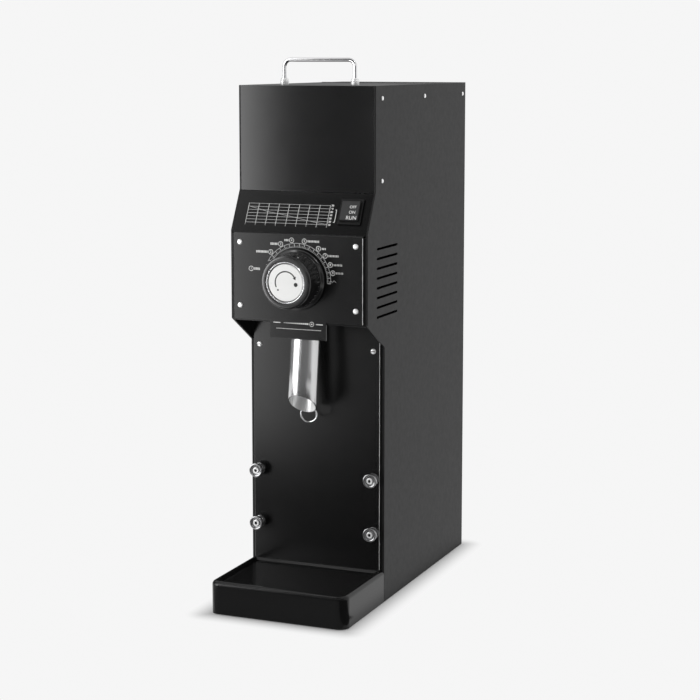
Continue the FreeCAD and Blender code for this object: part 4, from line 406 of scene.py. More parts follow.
# Switch: black moulded bezel snapped into the slanted panel, with a rocker whose
# grey face carries the printed words for its three places.
rocker_face = finish("rocker_face", (0.022, 0.022, 0.0225), 0.45, shine=0.4, cloud=0.05, grain=0.5, tooth=0.3)
bezel_black = finish("bezel_black", (0.006, 0.006, 0.0062), 0.4, shine=0.2, grain=0.45, tooth=0.2)
dress(bezel_black, "switch_body")
dress(rocker_face, "switch_rocker")
rocker_proud, word_middle, word_weight = 5.4, 65.0, 0.06
words = bmesh.new()
for text, down, height in (("OFF", 19.6, 4.8), ("ON", 26.2, 5.2), ("RUN", 33.2, 6.4)):
    figures(words, text, (word_middle, -down), height, word_weight)
printed("rocker_words", words, slanted_plate(rocker_proud + ink_raise), ink_white, "rocker")

# Scale round the dial: screen printed radial ticks between two arcs, ringed plain
# numbers and, beside each, a double row of dots that shrinks as the number grows.
control_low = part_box("control_panel")[0]
knob_low, knob_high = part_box("dial_knob")
control_plane, control_base = control_low.y / mm, control_low.z / mm
dial_height = (knob_low.z + knob_high.z) / 2 / mm


def upright_plate(plane, height, out):
    """Plane of an upright front sheet: x to the right, y up from a height, raised by out mm."""
    return Matrix.Translation(Vector((0.0, plane - out, height)) * mm) @ Matrix.Rotation(math.pi / 2, 4, "X")


def ray(degrees):
    """Direction on a plate, turned from the right towards the top."""
    return Vector((math.cos(math.radians(degrees)), math.sin(math.radians(degrees))))


dial_plate = upright_plate(control_plane, dial_height, ink_raise)
scale = bmesh.new()
scale_begin, scale_end, tick_step, tick_count = -4.0, 152.0, 3.0, 61
scale_inner, scale_outer, short_tick_end = 38.2, 42.6, 40.2
long_tick_line, short_tick_line, zigzag_line, long_tick_every = 0.8, 0.4, 0.5, 3
inner_arc_line, outer_arc_line, scale_arc_points = 0.35, 0.6, 90
for tick in range(tick_count):
    toward = ray(scale_begin + tick * tick_step)
    if tick % long_tick_every == 0:
        bar(scale, toward * scale_inner, toward * scale_outer, long_tick_line)
    else:
        bar(scale, toward * scale_inner, toward * short_tick_end, short_tick_line)
for radius, width in ((scale_inner, inner_arc_line), (scale_outer, outer_arc_line)):
    arc(scale, (0.0, 0.0), radius, width, math.radians(scale_begin), math.radians(scale_end),
        scale_arc_points)
zigzag = ((40.4, -1.8), (42.6, 0.6), (44.6, -1.4), (46.8, 1.0), (49.2, -1.2))
for start, end in zip(zigzag, zigzag[1:]):
    bar(scale, start, end, zigzag_line)
printed("dial_ticks", scale, dial_plate, ink_grey, "casing")

numbers = bmesh.new()
number_ring, number_line, number_height, number_weight = 2.8, 0.6, 3.8, 0.08
first_grain, grain_pitch, grain_rise, finest_grain, grain_growth = 4.8, 1.9, 0.6, 0.5, 0.05
small_ring_points, grain_points = 28, 12
rightwards, leftwards = 1, -1
places = (
    (169.9, 60.5, rightwards, 4), (137.4, 46.2, leftwards, 8), (117.3, 46.2, leftwards, 5),
    (98.7, 46.4, leftwards, 3), (78.6, 46.4, rightwards, 8), (54.0, 46.2, rightwards, 3),
    (39.6, 46.2, rightwards, 7), (24.4, 46.2, rightwards, 6), (12.0, 46.2, rightwards, 5),
)
for number, (turn, reach, way, count) in enumerate(places, start=1):
    middle = ray(turn) * reach
    arc(numbers, middle, number_ring, number_line, points=small_ring_points)
    figures(numbers, str(number), middle, number_height, number_weight)
    grain_size = finest_grain + grain_growth * (len(places) - number)
    for grain in range(count):
        spot = Vector((middle.x + way * (first_grain + grain * grain_pitch), middle.y))
        dot(numbers, spot + Vector((0.0, grain_rise)), grain_size, grain_points)
        dot(numbers, spot - Vector((0.0, grain_rise)), grain_size, grain_points)
printed("dial_numbers", numbers, dial_plate, ink_white, "casing")

# Slots of the two lower panel screws: one straight cut across each chromed head for
# the screwdriver, with a dark bar laid over it as painted shade inside the slot.
screws_low, screws_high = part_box("lower_panel_screws")
panel_screw_radius, slot_half, slot_width, slot_depth = 3.3, 2.7, 0.95, 0.12
slot_plate = upright_plate(screws_low.y / mm, (screws_low.z + screws_high.z) / 2 / mm, 0.0)
slots = bmesh.new()
for across in (screws_low.x / mm + panel_screw_radius, screws_high.x / mm - panel_screw_radius):
    bar(slots, (across - slot_half, 0.0), (across + slot_half, 0.0), slot_width)
printed("lower_screw_slots", slots, slot_plate, black_oxide, "casing", slot_depth)

# Edge highlights: a thin uneven pale line painted beside the right edge of the control panel
# and of the lower panel, a painted highlight where those edges catch the light.
edge_highlight_finish = finish("painted_edge_highlight", (0.5, 0.5, 0.5), 0.5, metal=0.3, cloud=0.25, patch=6.0, grain=0.3,
                   tooth=0.2)


def cut_edge(name, sheet, foot_gap, head_gap):
    """Painted highlight line beside the right edge of a front sheet, short of its foot and head by gaps in
    mm.
    """
    low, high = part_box(sheet)
    highlight_lengths, inset, width, break_between = 12, 0.5, 0.55, 0.1
    unevenness, uneven_turn = 0.07, 2.4
    across, foot, head = high.x / mm - inset, low.z / mm + foot_gap, high.z / mm - head_gap
    reach = (head - foot) / highlight_lengths
    line = bmesh.new()
    for length in range(highlight_lengths):
        start = foot + length * reach
        bar(line, (across, start), (across, start + reach - break_between),
            width + unevenness * math.sin(uneven_turn * length))
    printed(name, line, upright_plate(low.y / mm, 0.0, ink_raise), edge_highlight_finish, "casing")


cut_edge("control_edge_right", "control_panel", 21.5, 2.0)
cut_edge("lower_edge_right", "lower_front_panel", 1.0, 22.0)

# Marks on the tongue over the spout: screen printed in white, two short rules and a
# ringed dot, a row of growing dots between them and a row of fine dots below.
tongue = bmesh.new()
tongue_line_height, rule_line = 18.9, 0.9
ring_place, ring_radius, ring_line, ring_dot = 18.3, 2.6, 0.5, 0.8
growing_count, growing_start, growing_pitch, growing_least, growing_by = 13, -17.0, 2.5, 0.55, 0.045
fine_count, fine_start, fine_pitch, fine_row, fine_size, fine_points = 34, -26.5, 1.7, -6.9, 0.5, 10
for rule_start, rule_end in ((-31.0, -22.0), (23.7, 32.5)):
    bar(tongue, (rule_start, 0.0), (rule_end, 0.0), rule_line)
arc(tongue, (ring_place, 0.0), ring_radius, ring_line, points=small_ring_points)
dot(tongue, (ring_place, 0.0), ring_dot)
for grain in range(growing_count):
    grain_size = growing_least + grain * growing_by
    dot(tongue, (growing_start + grain * growing_pitch, 0.0), grain_size, grain_points)
for grain in range(fine_count):
    dot(tongue, (fine_start + grain * fine_pitch, fine_row), fine_size, fine_points)
tongue_plate = upright_plate(control_plane, control_base + tongue_line_height, ink_raise)
printed("tongue_marks", tongue, tongue_plate, ink_white, "casing")

# Dial knob: turned and black anodised, with a flared skirt behind, faint marks round
# its side and one white pointer dot. It is pressed on the adjusting drum.


def lathe(profile, foot, out, side, steps=96, closed=False):
    """Turned form: radius and reach in mm, spun about the line from foot along out.

    Either may vary with the turn, which begins at side.
    """
    shape = bmesh.new()
    out, side = Vector(out).normalized(), Vector(side).normalized()
    cross = out.cross(side)
    rings = []
    for radius, reach in profile:
        if radius == 0:
            rings.append([shape.verts.new((Vector(foot) + out * reach) * mm)])
            continue
        ring = []
        for step in range(steps):
            turn = math.tau * step / steps
            far = radius(turn) if callable(radius) else radius
            deep = reach(turn) if callable(reach) else reach
            spoke = side * math.cos(turn) + cross * math.sin(turn)
            ring.append(shape.verts.new((Vector(foot) + out * deep + spoke * far) * mm))
        rings.append(ring)
    pairs = list(zip(rings, rings[1:]))
    if closed:
        pairs.append((rings[-1], rings[0]))
    for ring, following in pairs:
        for step in range(steps):
            after = (step + 1) % steps
            corners = dict.fromkeys((
                ring[step % len(ring)], ring[after % len(ring)],
                following[after % len(following)], following[step % len(following)],
            ))
            shape.faces.new(list(corners))
    return shape


def smooth(thing, angle=28.0):
    """Shades a turned or bent form round, with its real edges kept sharp."""
    mesh = thing.data
    mesh.polygons.foreach_set("use_smooth", [True] * len(mesh.polygons))
    mesh.set_sharp_from_angle(angle=math.radians(angle))
    return thing


def rounded(corners, radius, steps=3):
    """Profile with all its corners but the end ones rounded. A third value is a corner's own radius."""
    path = [Vector(corner[:2]) for corner in corners]
    soft = [path[0]]
    for before, corner, after, own in zip(path, path[1:], path[2:], corners[1:]):
        reach = own[2] if len(own) > 2 else radius
        back = (before - corner).normalized() * min(reach, (before - corner).length * 0.45)
        ahead = (after - corner).normalized() * min(reach, (after - corner).length * 0.45)
        for step in range(steps + 1):
            share = step / steps
            soft.append(corner + back * (1.0 - share) ** 2 + ahead * share ** 2)
    soft.append(path[-1])
    return [(point.x, point.y) for point in soft]


front, rightward = (0.0, -1.0, 0.0), (1.0, 0.0, 0.0)
dial_foot = (0.0, control_plane, dial_height)
knob_black = finish("anodised_black", (0.006, 0.006, 0.0062), 0.22, shine=0.75, cloud=0.05, grain=0.35,
                    tooth=0.05, edge_wear_and_highlight=0.3, edge_wear_and_highlight_tone=(0.28, 0.28, 0.28))
knob_skirt, knob_side, knob_front, knob_seat, knob_bore = 36.0, 32.5, 31.2, 24.4, 9.1
knob_hub, knob_shell, side_start = 14.0, 29.5, 7.6
knob_back, knob_hollow, knob_floor, knob_depth = 0.7, 27.5, 30.6, 33.0
knob_profile = rounded((
    (knob_bore, knob_back), (knob_hub, knob_back), (knob_hub, knob_hollow), (knob_shell, knob_hollow),
    (knob_shell, knob_back), (knob_skirt, knob_back), (knob_skirt, 4.2), (35.2, 5.0), (32.9, 6.6),
    (knob_side, side_start),
    (knob_front, knob_depth, 2.5), (25.1, knob_depth), (knob_seat, 32.2), (knob_seat, knob_floor),
    (knob_bore, knob_floor),
), 0.35, 6)
knob = smooth(piece("dial_knob_turned", lathe(knob_profile, dial_foot, front, rightward, 144, True),
                    knob_black, "dial"))
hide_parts("dial_knob")

faint_ink = finish("faint_mark_ink", (0.07, 0.07, 0.07), 0.5, shine=0.3, cloud=0.2, patch=2.0, grain=0.2,
                   tooth=0.1)
mark_count, long_mark_every, mark_start, long_mark_end, short_mark_end = 36, 3, 9.2, 14.6, 12.2
long_mark_half, short_mark_half, side_lean, mark_raise, mark_film = 0.011, 0.008, 1.4 / 23.8, 0.03, 0.06
marks = bmesh.new()
for step in range(mark_count):
    turn = math.tau * step / mark_count
    long = step % long_mark_every == 0
    mark_end = long_mark_end if long else short_mark_end
    half_width = long_mark_half if long else short_mark_half
    corners = []
    for reach, way in ((mark_start, -1), (mark_end, -1), (mark_end, 1), (mark_start, 1)):
        radius = knob_side - (reach - side_start) * side_lean + mark_raise
        angle = turn + way * half_width
        across, up = radius * math.cos(angle), radius * math.sin(angle)
        corner = Vector((across, control_plane - reach, dial_height + up))
        corners.append(marks.verts.new(corner * mm))
    marks.faces.new(corners)
knob_marks = piece("knob_side_marks", marks, faint_ink, "dial")
film = knob_marks.modifiers.new("ink_film", "SOLIDIFY")
film.thickness = mark_film * mm
film.offset = 0.0

pointer_turn, pointer_radius, pointer_reach, pointer_dot, pointer_height = 66.0, 32.0, 26.5, 0.9, 0.25
pointer_slope_high, pointer_slope_wide = 0.13, 0.3
toward = Vector((ray(pointer_turn).x, 0.0, ray(pointer_turn).y))
pointer_foot = Vector(dial_foot) + toward * pointer_radius + Vector(front) * pointer_reach
pointer_profile = (
    (0, 0.0), (pointer_dot, 0.0), (pointer_dot, pointer_height - pointer_slope_high),
    (pointer_dot - pointer_slope_wide, pointer_height), (0, pointer_height),
)
pointer = lathe(pointer_profile, pointer_foot, toward, front, 20)
piece("knob_pointer_dot", pointer, ink_white, "dial")

# Ring and cap of the knob: a bright turned ring with one groove holds a white
# plastic disc on a rubber seal. A plain curved arrow and two dots are printed on it.
ring_steel = finish("polished_ring", (0.74, 0.74, 0.75), 0.16, metal=0.8, cloud=0.05, patch=6.0, grain=0.3,
                    tooth=0.05)
ring_inner, ring_outer = 22.8, 24.3
ring_profile = rounded((
    (ring_inner, knob_floor), (ring_outer, knob_floor), (ring_outer, 33.6), (23.9, 34.0), (23.65, 33.95),
    (23.55, 33.6), (23.35, 33.6), (23.2, 33.8), (22.9, 33.7), (ring_inner, 33.3),
), 0.12)
knob_ring = smooth(piece("knob_ring_turned", lathe(ring_profile, dial_foot, front, rightward, 128, True),
                         ring_steel, "dial"))
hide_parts("knob_ring")
cap_white = finish("cap_white", (0.8, 0.8, 0.79), 0.32, cloud=0.02, patch=10.0, grain=0.5, tooth=0.06)
cap_rim, cap_top = 22.7, 33.0
cap_profile = (
    (0, knob_floor), (cap_rim, knob_floor), (cap_rim, 31.3), (21.8, 31.4), (21.7, 32.5), (21.4, 32.85),
    (16.0, 32.97), (0, cap_top),
)
knob_cap = smooth(piece("knob_cap_disc", lathe(cap_profile, dial_foot, front, rightward, 128),
                        cap_white, "dial"))
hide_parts("knob_cap")
seal = rounded(((21.85, 31.5), (22.75, 31.5), (22.75, 32.2), (21.85, 32.2), (21.85, 31.5)), 0.2)
smooth(piece("knob_cap_seal", lathe(seal[:-1], dial_foot, front, rightward, 96, True), foot_rubber, "dial"))
ink_black = finish("cap_ink", (0.02, 0.02, 0.02), 0.5, shine=0.3, cloud=0.1, patch=2.0, grain=0.2, tooth=0.1)
arrow_radius, arrow_line, arrow_head, small_dot, large_dot = 13.0, 1.5, 2.4, 1.1, 2.4
arrow_tip, arrow_root, arrow_tail, small_dot_turn, large_dot_turn = 16.0, 31.0, 205.0, 222.0, -8.0
arrow_sink, arrow_overlap, arrow_points, large_dot_points = 0.01, 1.0, 60, 28
arrow_plate = upright_plate(control_plane, dial_height, cap_top - arrow_sink)
sign = bmesh.new()
arc(sign, (0.0, 0.0), arrow_radius, arrow_line, math.radians(arrow_root - arrow_overlap),
    math.radians(arrow_tail), arrow_points)
sign.faces.new([
    sign.verts.new((*(ray(degrees) * radius), 0.0))
    for radius, degrees in ((arrow_radius, arrow_tip), (arrow_radius + arrow_head, arrow_root),
                            (arrow_radius - arrow_head, arrow_root))
])
dot(sign, ray(small_dot_turn) * arrow_radius, small_dot)
dot(sign, ray(large_dot_turn) * arrow_radius, large_dot, large_dot_points)
printed("cap_arrow", sign, arrow_plate, ink_black, "dial")

# Spout: seamless steel tube cut square on top and slanting at the mouth, brushed
# along its length, seated in a collar under the tongue, with a small eye behind.
spout_steel = finish("brushed_spout", (0.68, 0.68, 0.685), 0.22, metal=1.0, cloud=0.03, patch=30.0, grain=0.3,
                     tooth=0.05, drawn=(1.0, 1.0, 0.03), uneven=0.04)
# The bore has its own paler, partly matt steel finish, a painted highlight standing in for the light seen
# inside the tube.
bore_painted_light_steel = finish("spout_bore", (0.85, 0.85, 0.85), 0.3, metal=0.8, cloud=0.05, patch=12.0, grain=0.4,
                    tooth=0.1)
spout_radius, spout_wall, spout_tilt = 17.1, 1.4, math.radians(7.6)
spout_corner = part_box("spout_tube")[1] / mm
spout_head = Vector((0.0, spout_corner.y - spout_radius * math.cos(spout_tilt),
                     spout_corner.z - spout_radius * math.sin(spout_tilt)))
spout_down = Vector((0.0, -math.sin(spout_tilt), -math.cos(spout_tilt)))
spout_back = Vector((0.0, math.cos(spout_tilt), -math.sin(spout_tilt)))
spout_middle, mouth_middle, mouth_slope = 60.0, 101.3, 10.4


def mouth(short):
    """Reach of the slanting mouth, less a small amount, by the turn from the right to the front."""
    return lambda turn: mouth_middle - short - mouth_slope * math.sin(turn)


spout_bore = spout_radius - spout_wall
lip_flat, lip_bend, lip_bend_short, lip_short = 0.5, 0.15, 0.12, 0.45
spout_profile = (
    (spout_radius, 0.0), (spout_radius, spout_middle), (spout_radius, mouth(lip_short)),
    (spout_radius - lip_bend, mouth(lip_bend_short)), (spout_radius - lip_flat, mouth(0.0)),
    (spout_bore + lip_flat, mouth(0.0)), (spout_bore + lip_bend, mouth(lip_bend_short)),
    (spout_bore, mouth(lip_short)), (spout_bore, spout_middle), (spout_bore, 0.0),
)
spout = smooth(piece("spout_tube_drawn", lathe(spout_profile, spout_head, spout_down, rightward, 128, True),
                     spout_steel, "casing"))
spout.data.materials.append(bore_painted_light_steel)
spout.data.materials.append(black_oxide)
for face in spout.data.polygons:
    off = face.center / mm - spout_head
    depth = off.dot(spout_down)
    reach = (off - spout_down * depth).length
    if reach < spout_bore + 0.1:
        face.material_index = 1
    elif reach < spout_radius - 0.1 and depth > spout_middle:
        face.material_index = 2
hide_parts("spout_tube")

eye_reach, eye_lift, eye_hole, eye_radius, eye_half = 105.7, 2.6, 1.3, 3.0, 1.0
neck_lift, neck_wide, neck_thick, neck_tall = 0.1, 2.0, 2.4, 4.4
eye_profile = rounded((
    (eye_hole, -eye_half), (eye_radius, -eye_half), (eye_radius, eye_half), (eye_hole, eye_half),
), 0.2)
eye_spot = spout_head + spout_down * eye_reach + spout_back * (spout_radius + eye_lift)
eye = lathe(eye_profile, eye_spot, rightward, (0.0, 1.0, 0.0), 40, True)
neck_spot = spout_head + spout_down * eye_reach + spout_back * (spout_radius + neck_lift)
neck_size = Matrix.Diagonal((neck_wide * mm, neck_thick * mm, neck_tall * mm, 1.0))
neck_place = Matrix.Translation(neck_spot * mm) @ Matrix.Rotation(-spout_tilt, 4, "X")
bmesh.ops.create_cube(eye, size=1.0, matrix=neck_place @ neck_size)
smooth(piece("spout_eye", eye, spout_steel, "casing"))
dress(bin_steel, "spout_socket")

# Pull ring: bright wire bent to a hoop through the eye behind the spout's tip. It
# hangs free and a bag is hooked on it.


def bent_wire(path, radius, closed=False, steps=20):
    """Round wire along a path of points, in mm."""
    shape = bmesh.new()
    points = [Vector(point) for point in path]
    count = len(points)
    rings = []
    for index, point in enumerate(points):
        before = points[index - 1] if closed or index else point
        after = points[(index + 1) % count] if closed or index < count - 1 else point
        along = (after - before).normalized()
        flat = Vector((0.0, 1.0, 0.0))
        third = along.cross(flat)
        rings.append([
            shape.verts.new((point + (flat * math.cos(turn) + third * math.sin(turn)) * radius) * mm)
            for turn in (math.tau * step / steps for step in range(steps))
        ])
    pairs = list(zip(rings, rings[1:]))
    if closed:
        pairs.append((rings[-1], rings[0]))
    else:
        shape.faces.new(rings[0])
        shape.faces.new(rings[-1])
    for ring, following in pairs:
        for step in range(steps):
            after = (step + 1) % steps
            shape.faces.new((ring[step], ring[after], following[after], following[step]))
    return shape


wire_chrome = finish("bright_wire", (0.76, 0.76, 0.77), 0.1, metal=1.0, cloud=0.04, patch=10.0, grain=0.4,
                     tooth=0.04)
ring_low, ring_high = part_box("spout_ring")
ring_middle = (ring_low + ring_high) / 2 / mm
hoop_half, hoop_rise, hoop_wire, hoop_steps = 10.3, 9.0, 1.0, 72
hoop_middle = ring_middle + Vector((0.0, 0.0, hoop_half - hoop_rise))
hoop_path = [
    hoop_middle + Vector((math.cos(turn) * hoop_half, 0.0, math.sin(turn) * hoop_rise))
    for turn in (math.tau * step / hoop_steps for step in range(hoop_steps))
]
hoop_bend = bent_wire(hoop_path, hoop_wire, True, 16)
hoop = smooth(piece("pull_ring_hoop", hoop_bend, wire_chrome, "pull_ring"), 60.0)
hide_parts("spout_ring")

# Bag rest studs: four turned spools on the lower panel, each a round plate with a
# dished face on a neck and a foot, held by a socket screw from the front.
# The near-white edge tone on the turned rims is mostly a painted highlight, with a little wear.
stud_steel = finish("turned_stud", (0.3, 0.3, 0.305), 0.2, metal=0.9, cloud=0.06, patch=5.0, grain=0.3,
                    tooth=0.05, edge_wear_and_highlight=0.9, edge_wear_and_highlight_tone=(0.85, 0.85, 0.85))
stud_plate, stud_foot, stud_neck, stud_hole = 8.6, 7.2, 4.6, 2.3
stud_length, stud_seat = 14.0, 12.0
stud_profile = rounded((
    (stud_hole, 0.0), (stud_foot, 0.0), (stud_foot, 2.5), (5.2, 2.5), (stud_neck, 3.4), (stud_neck, 9.2),
    (5.2, 10.0), (stud_plate, 10.0), (stud_plate, stud_length, 1.1), (6.6, stud_length, 0.7), (5.6, 13.2),
    (5.6, stud_seat), (stud_hole, stud_seat),
), 0.5)


def hexagon(across):
    """Radius of a hexagon with this width across its flats."""
    return lambda turn: across / 2 / math.cos(turn % (math.pi / 3) - math.pi / 6)


screw_shank, screw_head, screw_end, socket_mouth, socket_width = 2.0, 3.9, 13.8, 3.7, 3.5
screw_profile = (
    (0, -6.0), (screw_shank, -6.0), (screw_shank, stud_seat), (3.7, stud_seat), (screw_head, 12.2),
    (screw_head, 13.2), (3.75, 13.6), (3.4, screw_end), (hexagon(socket_mouth), screw_end),
    (hexagon(socket_width), 13.65), (hexagon(socket_width), 12.4), (0, 12.3),
)
studs_low, studs_high = (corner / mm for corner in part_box("bag_rest_studs"))
for side, across in (("right", studs_high.x - stud_plate), ("left", studs_low.x + stud_plate)):
    for level, height in (("high", studs_high.z - stud_plate), ("low", studs_low.z + stud_plate)):
        spot = (across, studs_high.y, height)
        stud = smooth(piece(f"stud_{side}_{level}", lathe(stud_profile, spot, front, rightward, 64, True),
                            stud_steel, "casing"))
        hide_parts("bag_rest_studs")
        screw = smooth(piece(f"stud_screw_{side}_{level}", lathe(screw_profile, spot, front, rightward, 48),
                             chrome_with_painted_sheen, "casing"))
        # The faces inside the hex socket get the dark black oxide finish: painted shade in the socket.
        screw.data.materials.append(black_oxide)
        for face in screw.data.polygons:
            off = face.center / mm - Vector(spot)
            if math.hypot(off.x, off.z) < screw_shank - 0.05 and off.y < 0.0:
                face.material_index = 1
        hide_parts("stud_screws")

# Hopper lid: folded sheet with a lip that drops into the bin, in the covers' coat.
# A leaf hinge runs along its back edge, on a steel pin.
lid_coat = finish("lid_coat", (0.021, 0.021, 0.0215), 0.36, shine=0.33, cloud=0.04, patch=60.0, grain=0.6,
                  tooth=0.12, edge_wear_and_highlight=0.2)
hinge_steel = finish("hinge_steel", (0.035, 0.035, 0.036), 0.38, shine=0.5, cloud=0.1, patch=8.0, edge_wear_and_highlight=0.4)
dress(lid_coat, "hopper_lid")
dress(hinge_steel, "fixed_hinge_leaf", "lid_hinge_leaf")
dress(turned_steel, "hinge_pin")

# Lid handle: chromed steel wire bent twice to a low arch, its feet standing in two
# turned ferrules on the lid.
lid_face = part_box("hopper_lid")[1].z / mm
handle_wire, handle_bend, bend_steps = 2.4, 8.0, 16
handle_low, handle_high = (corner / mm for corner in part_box("lid_handle"))
handle_line, handle_half = (handle_low.y + handle_high.y) / 2, handle_high.x - handle_wire
handle_foot, handle_top = handle_low.z, handle_high.z - handle_wire
handle_path = [(-handle_half, handle_line, handle_foot)]
for centre, begin in ((handle_bend - handle_half, math.pi), (handle_half - handle_bend, math.pi / 2)):
    for step in range(bend_steps + 1):
        turn = begin - math.pi / 2 * step / bend_steps
        handle_path.append((centre + handle_bend * math.cos(turn), handle_line,
                            handle_top - handle_bend + handle_bend * math.sin(turn)))
handle_path.append((handle_half, handle_line, handle_foot))
handle_arch = bent_wire(handle_path, handle_wire, False, 28)
handle = smooth(piece("lid_handle_bow", handle_arch, wire_chrome, "lid"), 60.0)
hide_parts("lid_handle")
ferrule_bore, ferrule_base, ferrule_neck, ferrule_height = 2.45, 5.0, 4.4, 8.0
ferrule_profile = rounded((
    (ferrule_bore, 0.0), (ferrule_base, 0.0), (ferrule_base, 5.6), (ferrule_neck, 6.2), (ferrule_neck, 7.2),
    (3.9, ferrule_height), (ferrule_bore, ferrule_height),
), 0.4)
for side, across in (("left", -handle_half), ("right", handle_half)):
    turned = lathe(ferrule_profile, (across, handle_line, lid_face), (0.0, 0.0, 1.0), rightward, 56, True)
    ferrule = smooth(piece(f"ferrule_{side}", turned, chrome_with_painted_sheen, "lid"))
    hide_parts("handle_ferrules")

# Backdrop: a pale paper sweep behind and under the machine. It shows at its own tone
# to the camera and in reflections, and gives the surfaces a little fill light.
backdrop_tone, fill_light = 0.92, 0.55
world = bpy.data.worlds.new("backdrop")
bpy.context.scene.world = world
world.use_nodes = True
sky = world.node_tree
sky.nodes.clear()
paths = sky.nodes.new("ShaderNodeLightPath")
seen = sky.nodes.new("ShaderNodeMath")
seen.operation = "MAXIMUM"
seen_or_through = sky.nodes.new("ShaderNodeMath")
seen_or_through.operation = "MAXIMUM"
sky.links.new(paths.outputs["Is Camera Ray"], seen.inputs[0])
sky.links.new(paths.outputs["Is Glossy Ray"], seen.inputs[1])
sky.links.new(seen.outputs["Value"], seen_or_through.inputs[0])
sky.links.new(paths.outputs["Is Transmission Ray"], seen_or_through.inputs[1])
fill = sky.nodes.new("ShaderNodeBackground")
fill.inputs["Color"].default_value = (1.0, 1.0, 1.0, 1.0)
fill.inputs["Strength"].default_value = fill_light
shown = sky.nodes.new("ShaderNodeBackground")
shown.inputs["Color"].default_value = (backdrop_tone, backdrop_tone, backdrop_tone, 1.0)
either = sky.nodes.new("ShaderNodeMixShader")
out = sky.nodes.new("ShaderNodeOutputWorld")
sky.links.new(seen_or_through.outputs["Value"], either.inputs["Fac"])
sky.links.new(fill.outputs["Background"], either.inputs[1])
sky.links.new(shown.outputs["Background"], either.inputs[2])
sky.links.new(either.outputs["Shader"], out.inputs["Surface"])

# Floor: the same paper lying flat. Close to the base its colour is darker, a painted contact shadow
# besides the real shadow it takes, and a few centimetres away it fades to the plain backdrop tone.
body_half_width, body_half_depth = 87.5 * mm, 203.4 * mm
shadow_begin, shadow_end, shadow_tone, floor_half = -12.0 * mm, 30.0 * mm, 0.52, 8.0
paper = bpy.data.materials.new("floor_paper")
paper.use_nodes = True
tree = paper.node_tree
tree.nodes.clear()
place = tree.nodes.new("ShaderNodeTexCoord")
mirrored = tree.nodes.new("ShaderNodeVectorMath")
mirrored.operation = "ABSOLUTE"
beyond = tree.nodes.new("ShaderNodeVectorMath")
beyond.operation = "SUBTRACT"
beyond.inputs[1].default_value = (body_half_width, body_half_depth, 0.0)
outside = tree.nodes.new("ShaderNodeVectorMath")
outside.operation = "MAXIMUM"
outside.inputs[1].default_value = (0.0, 0.0, 0.0)
distance = tree.nodes.new("ShaderNodeVectorMath")
distance.operation = "LENGTH"
fade = tree.nodes.new("ShaderNodeMapRange")
fade.interpolation_type = "SMOOTHSTEP"
fade.inputs["From Min"].default_value = shadow_begin
fade.inputs["From Max"].default_value = shadow_end
shadowed = tree.nodes.new("ShaderNodeBsdfDiffuse")
shadowed.inputs["Color"].default_value = (shadow_tone, shadow_tone, shadow_tone, 1.0)
glow = tree.nodes.new("ShaderNodeEmission")
glow.inputs["Color"].default_value = (backdrop_tone, backdrop_tone, backdrop_tone, 1.0)
blend = tree.nodes.new("ShaderNodeMixShader")
done = tree.nodes.new("ShaderNodeOutputMaterial")
tree.links.new(place.outputs["Object"], mirrored.inputs[0])
tree.links.new(mirrored.outputs["Vector"], beyond.inputs[0])
tree.links.new(beyond.outputs["Vector"], outside.inputs[0])
tree.links.new(outside.outputs["Vector"], distance.inputs[0])
tree.links.new(distance.outputs["Value"], fade.inputs["Value"])
tree.links.new(fade.outputs["Result"], blend.inputs["Fac"])
tree.links.new(shadowed.outputs["BSDF"], blend.inputs[1])
tree.links.new(glow.outputs["Emission"], blend.inputs[2])
tree.links.new(blend.outputs["Shader"], done.inputs["Surface"])


def laid(x0, y0, x1, y1, height):
    """Corners of a level sheet between two points of the floor plan, in metres."""
    return [(x0, y0, height), (x1, y0, height), (x1, y1, height), (x0, y1, height)]


floor = bpy.data.objects.new("floor", bpy.data.meshes.new("floor"))
floor.data.from_pydata(laid(-floor_half, -floor_half, floor_half, floor_half, 0.0), [], [(0, 1, 2, 3)])
floor.data.materials.append(paper)
bpy.context.scene.collection.objects.link(floor)

# Reflection cards: boards round and under the machine, seen only in its gloss. A bright
# one stands at the left front and dim ones elsewhere; small ones light spout, handle,
# screws and rims.


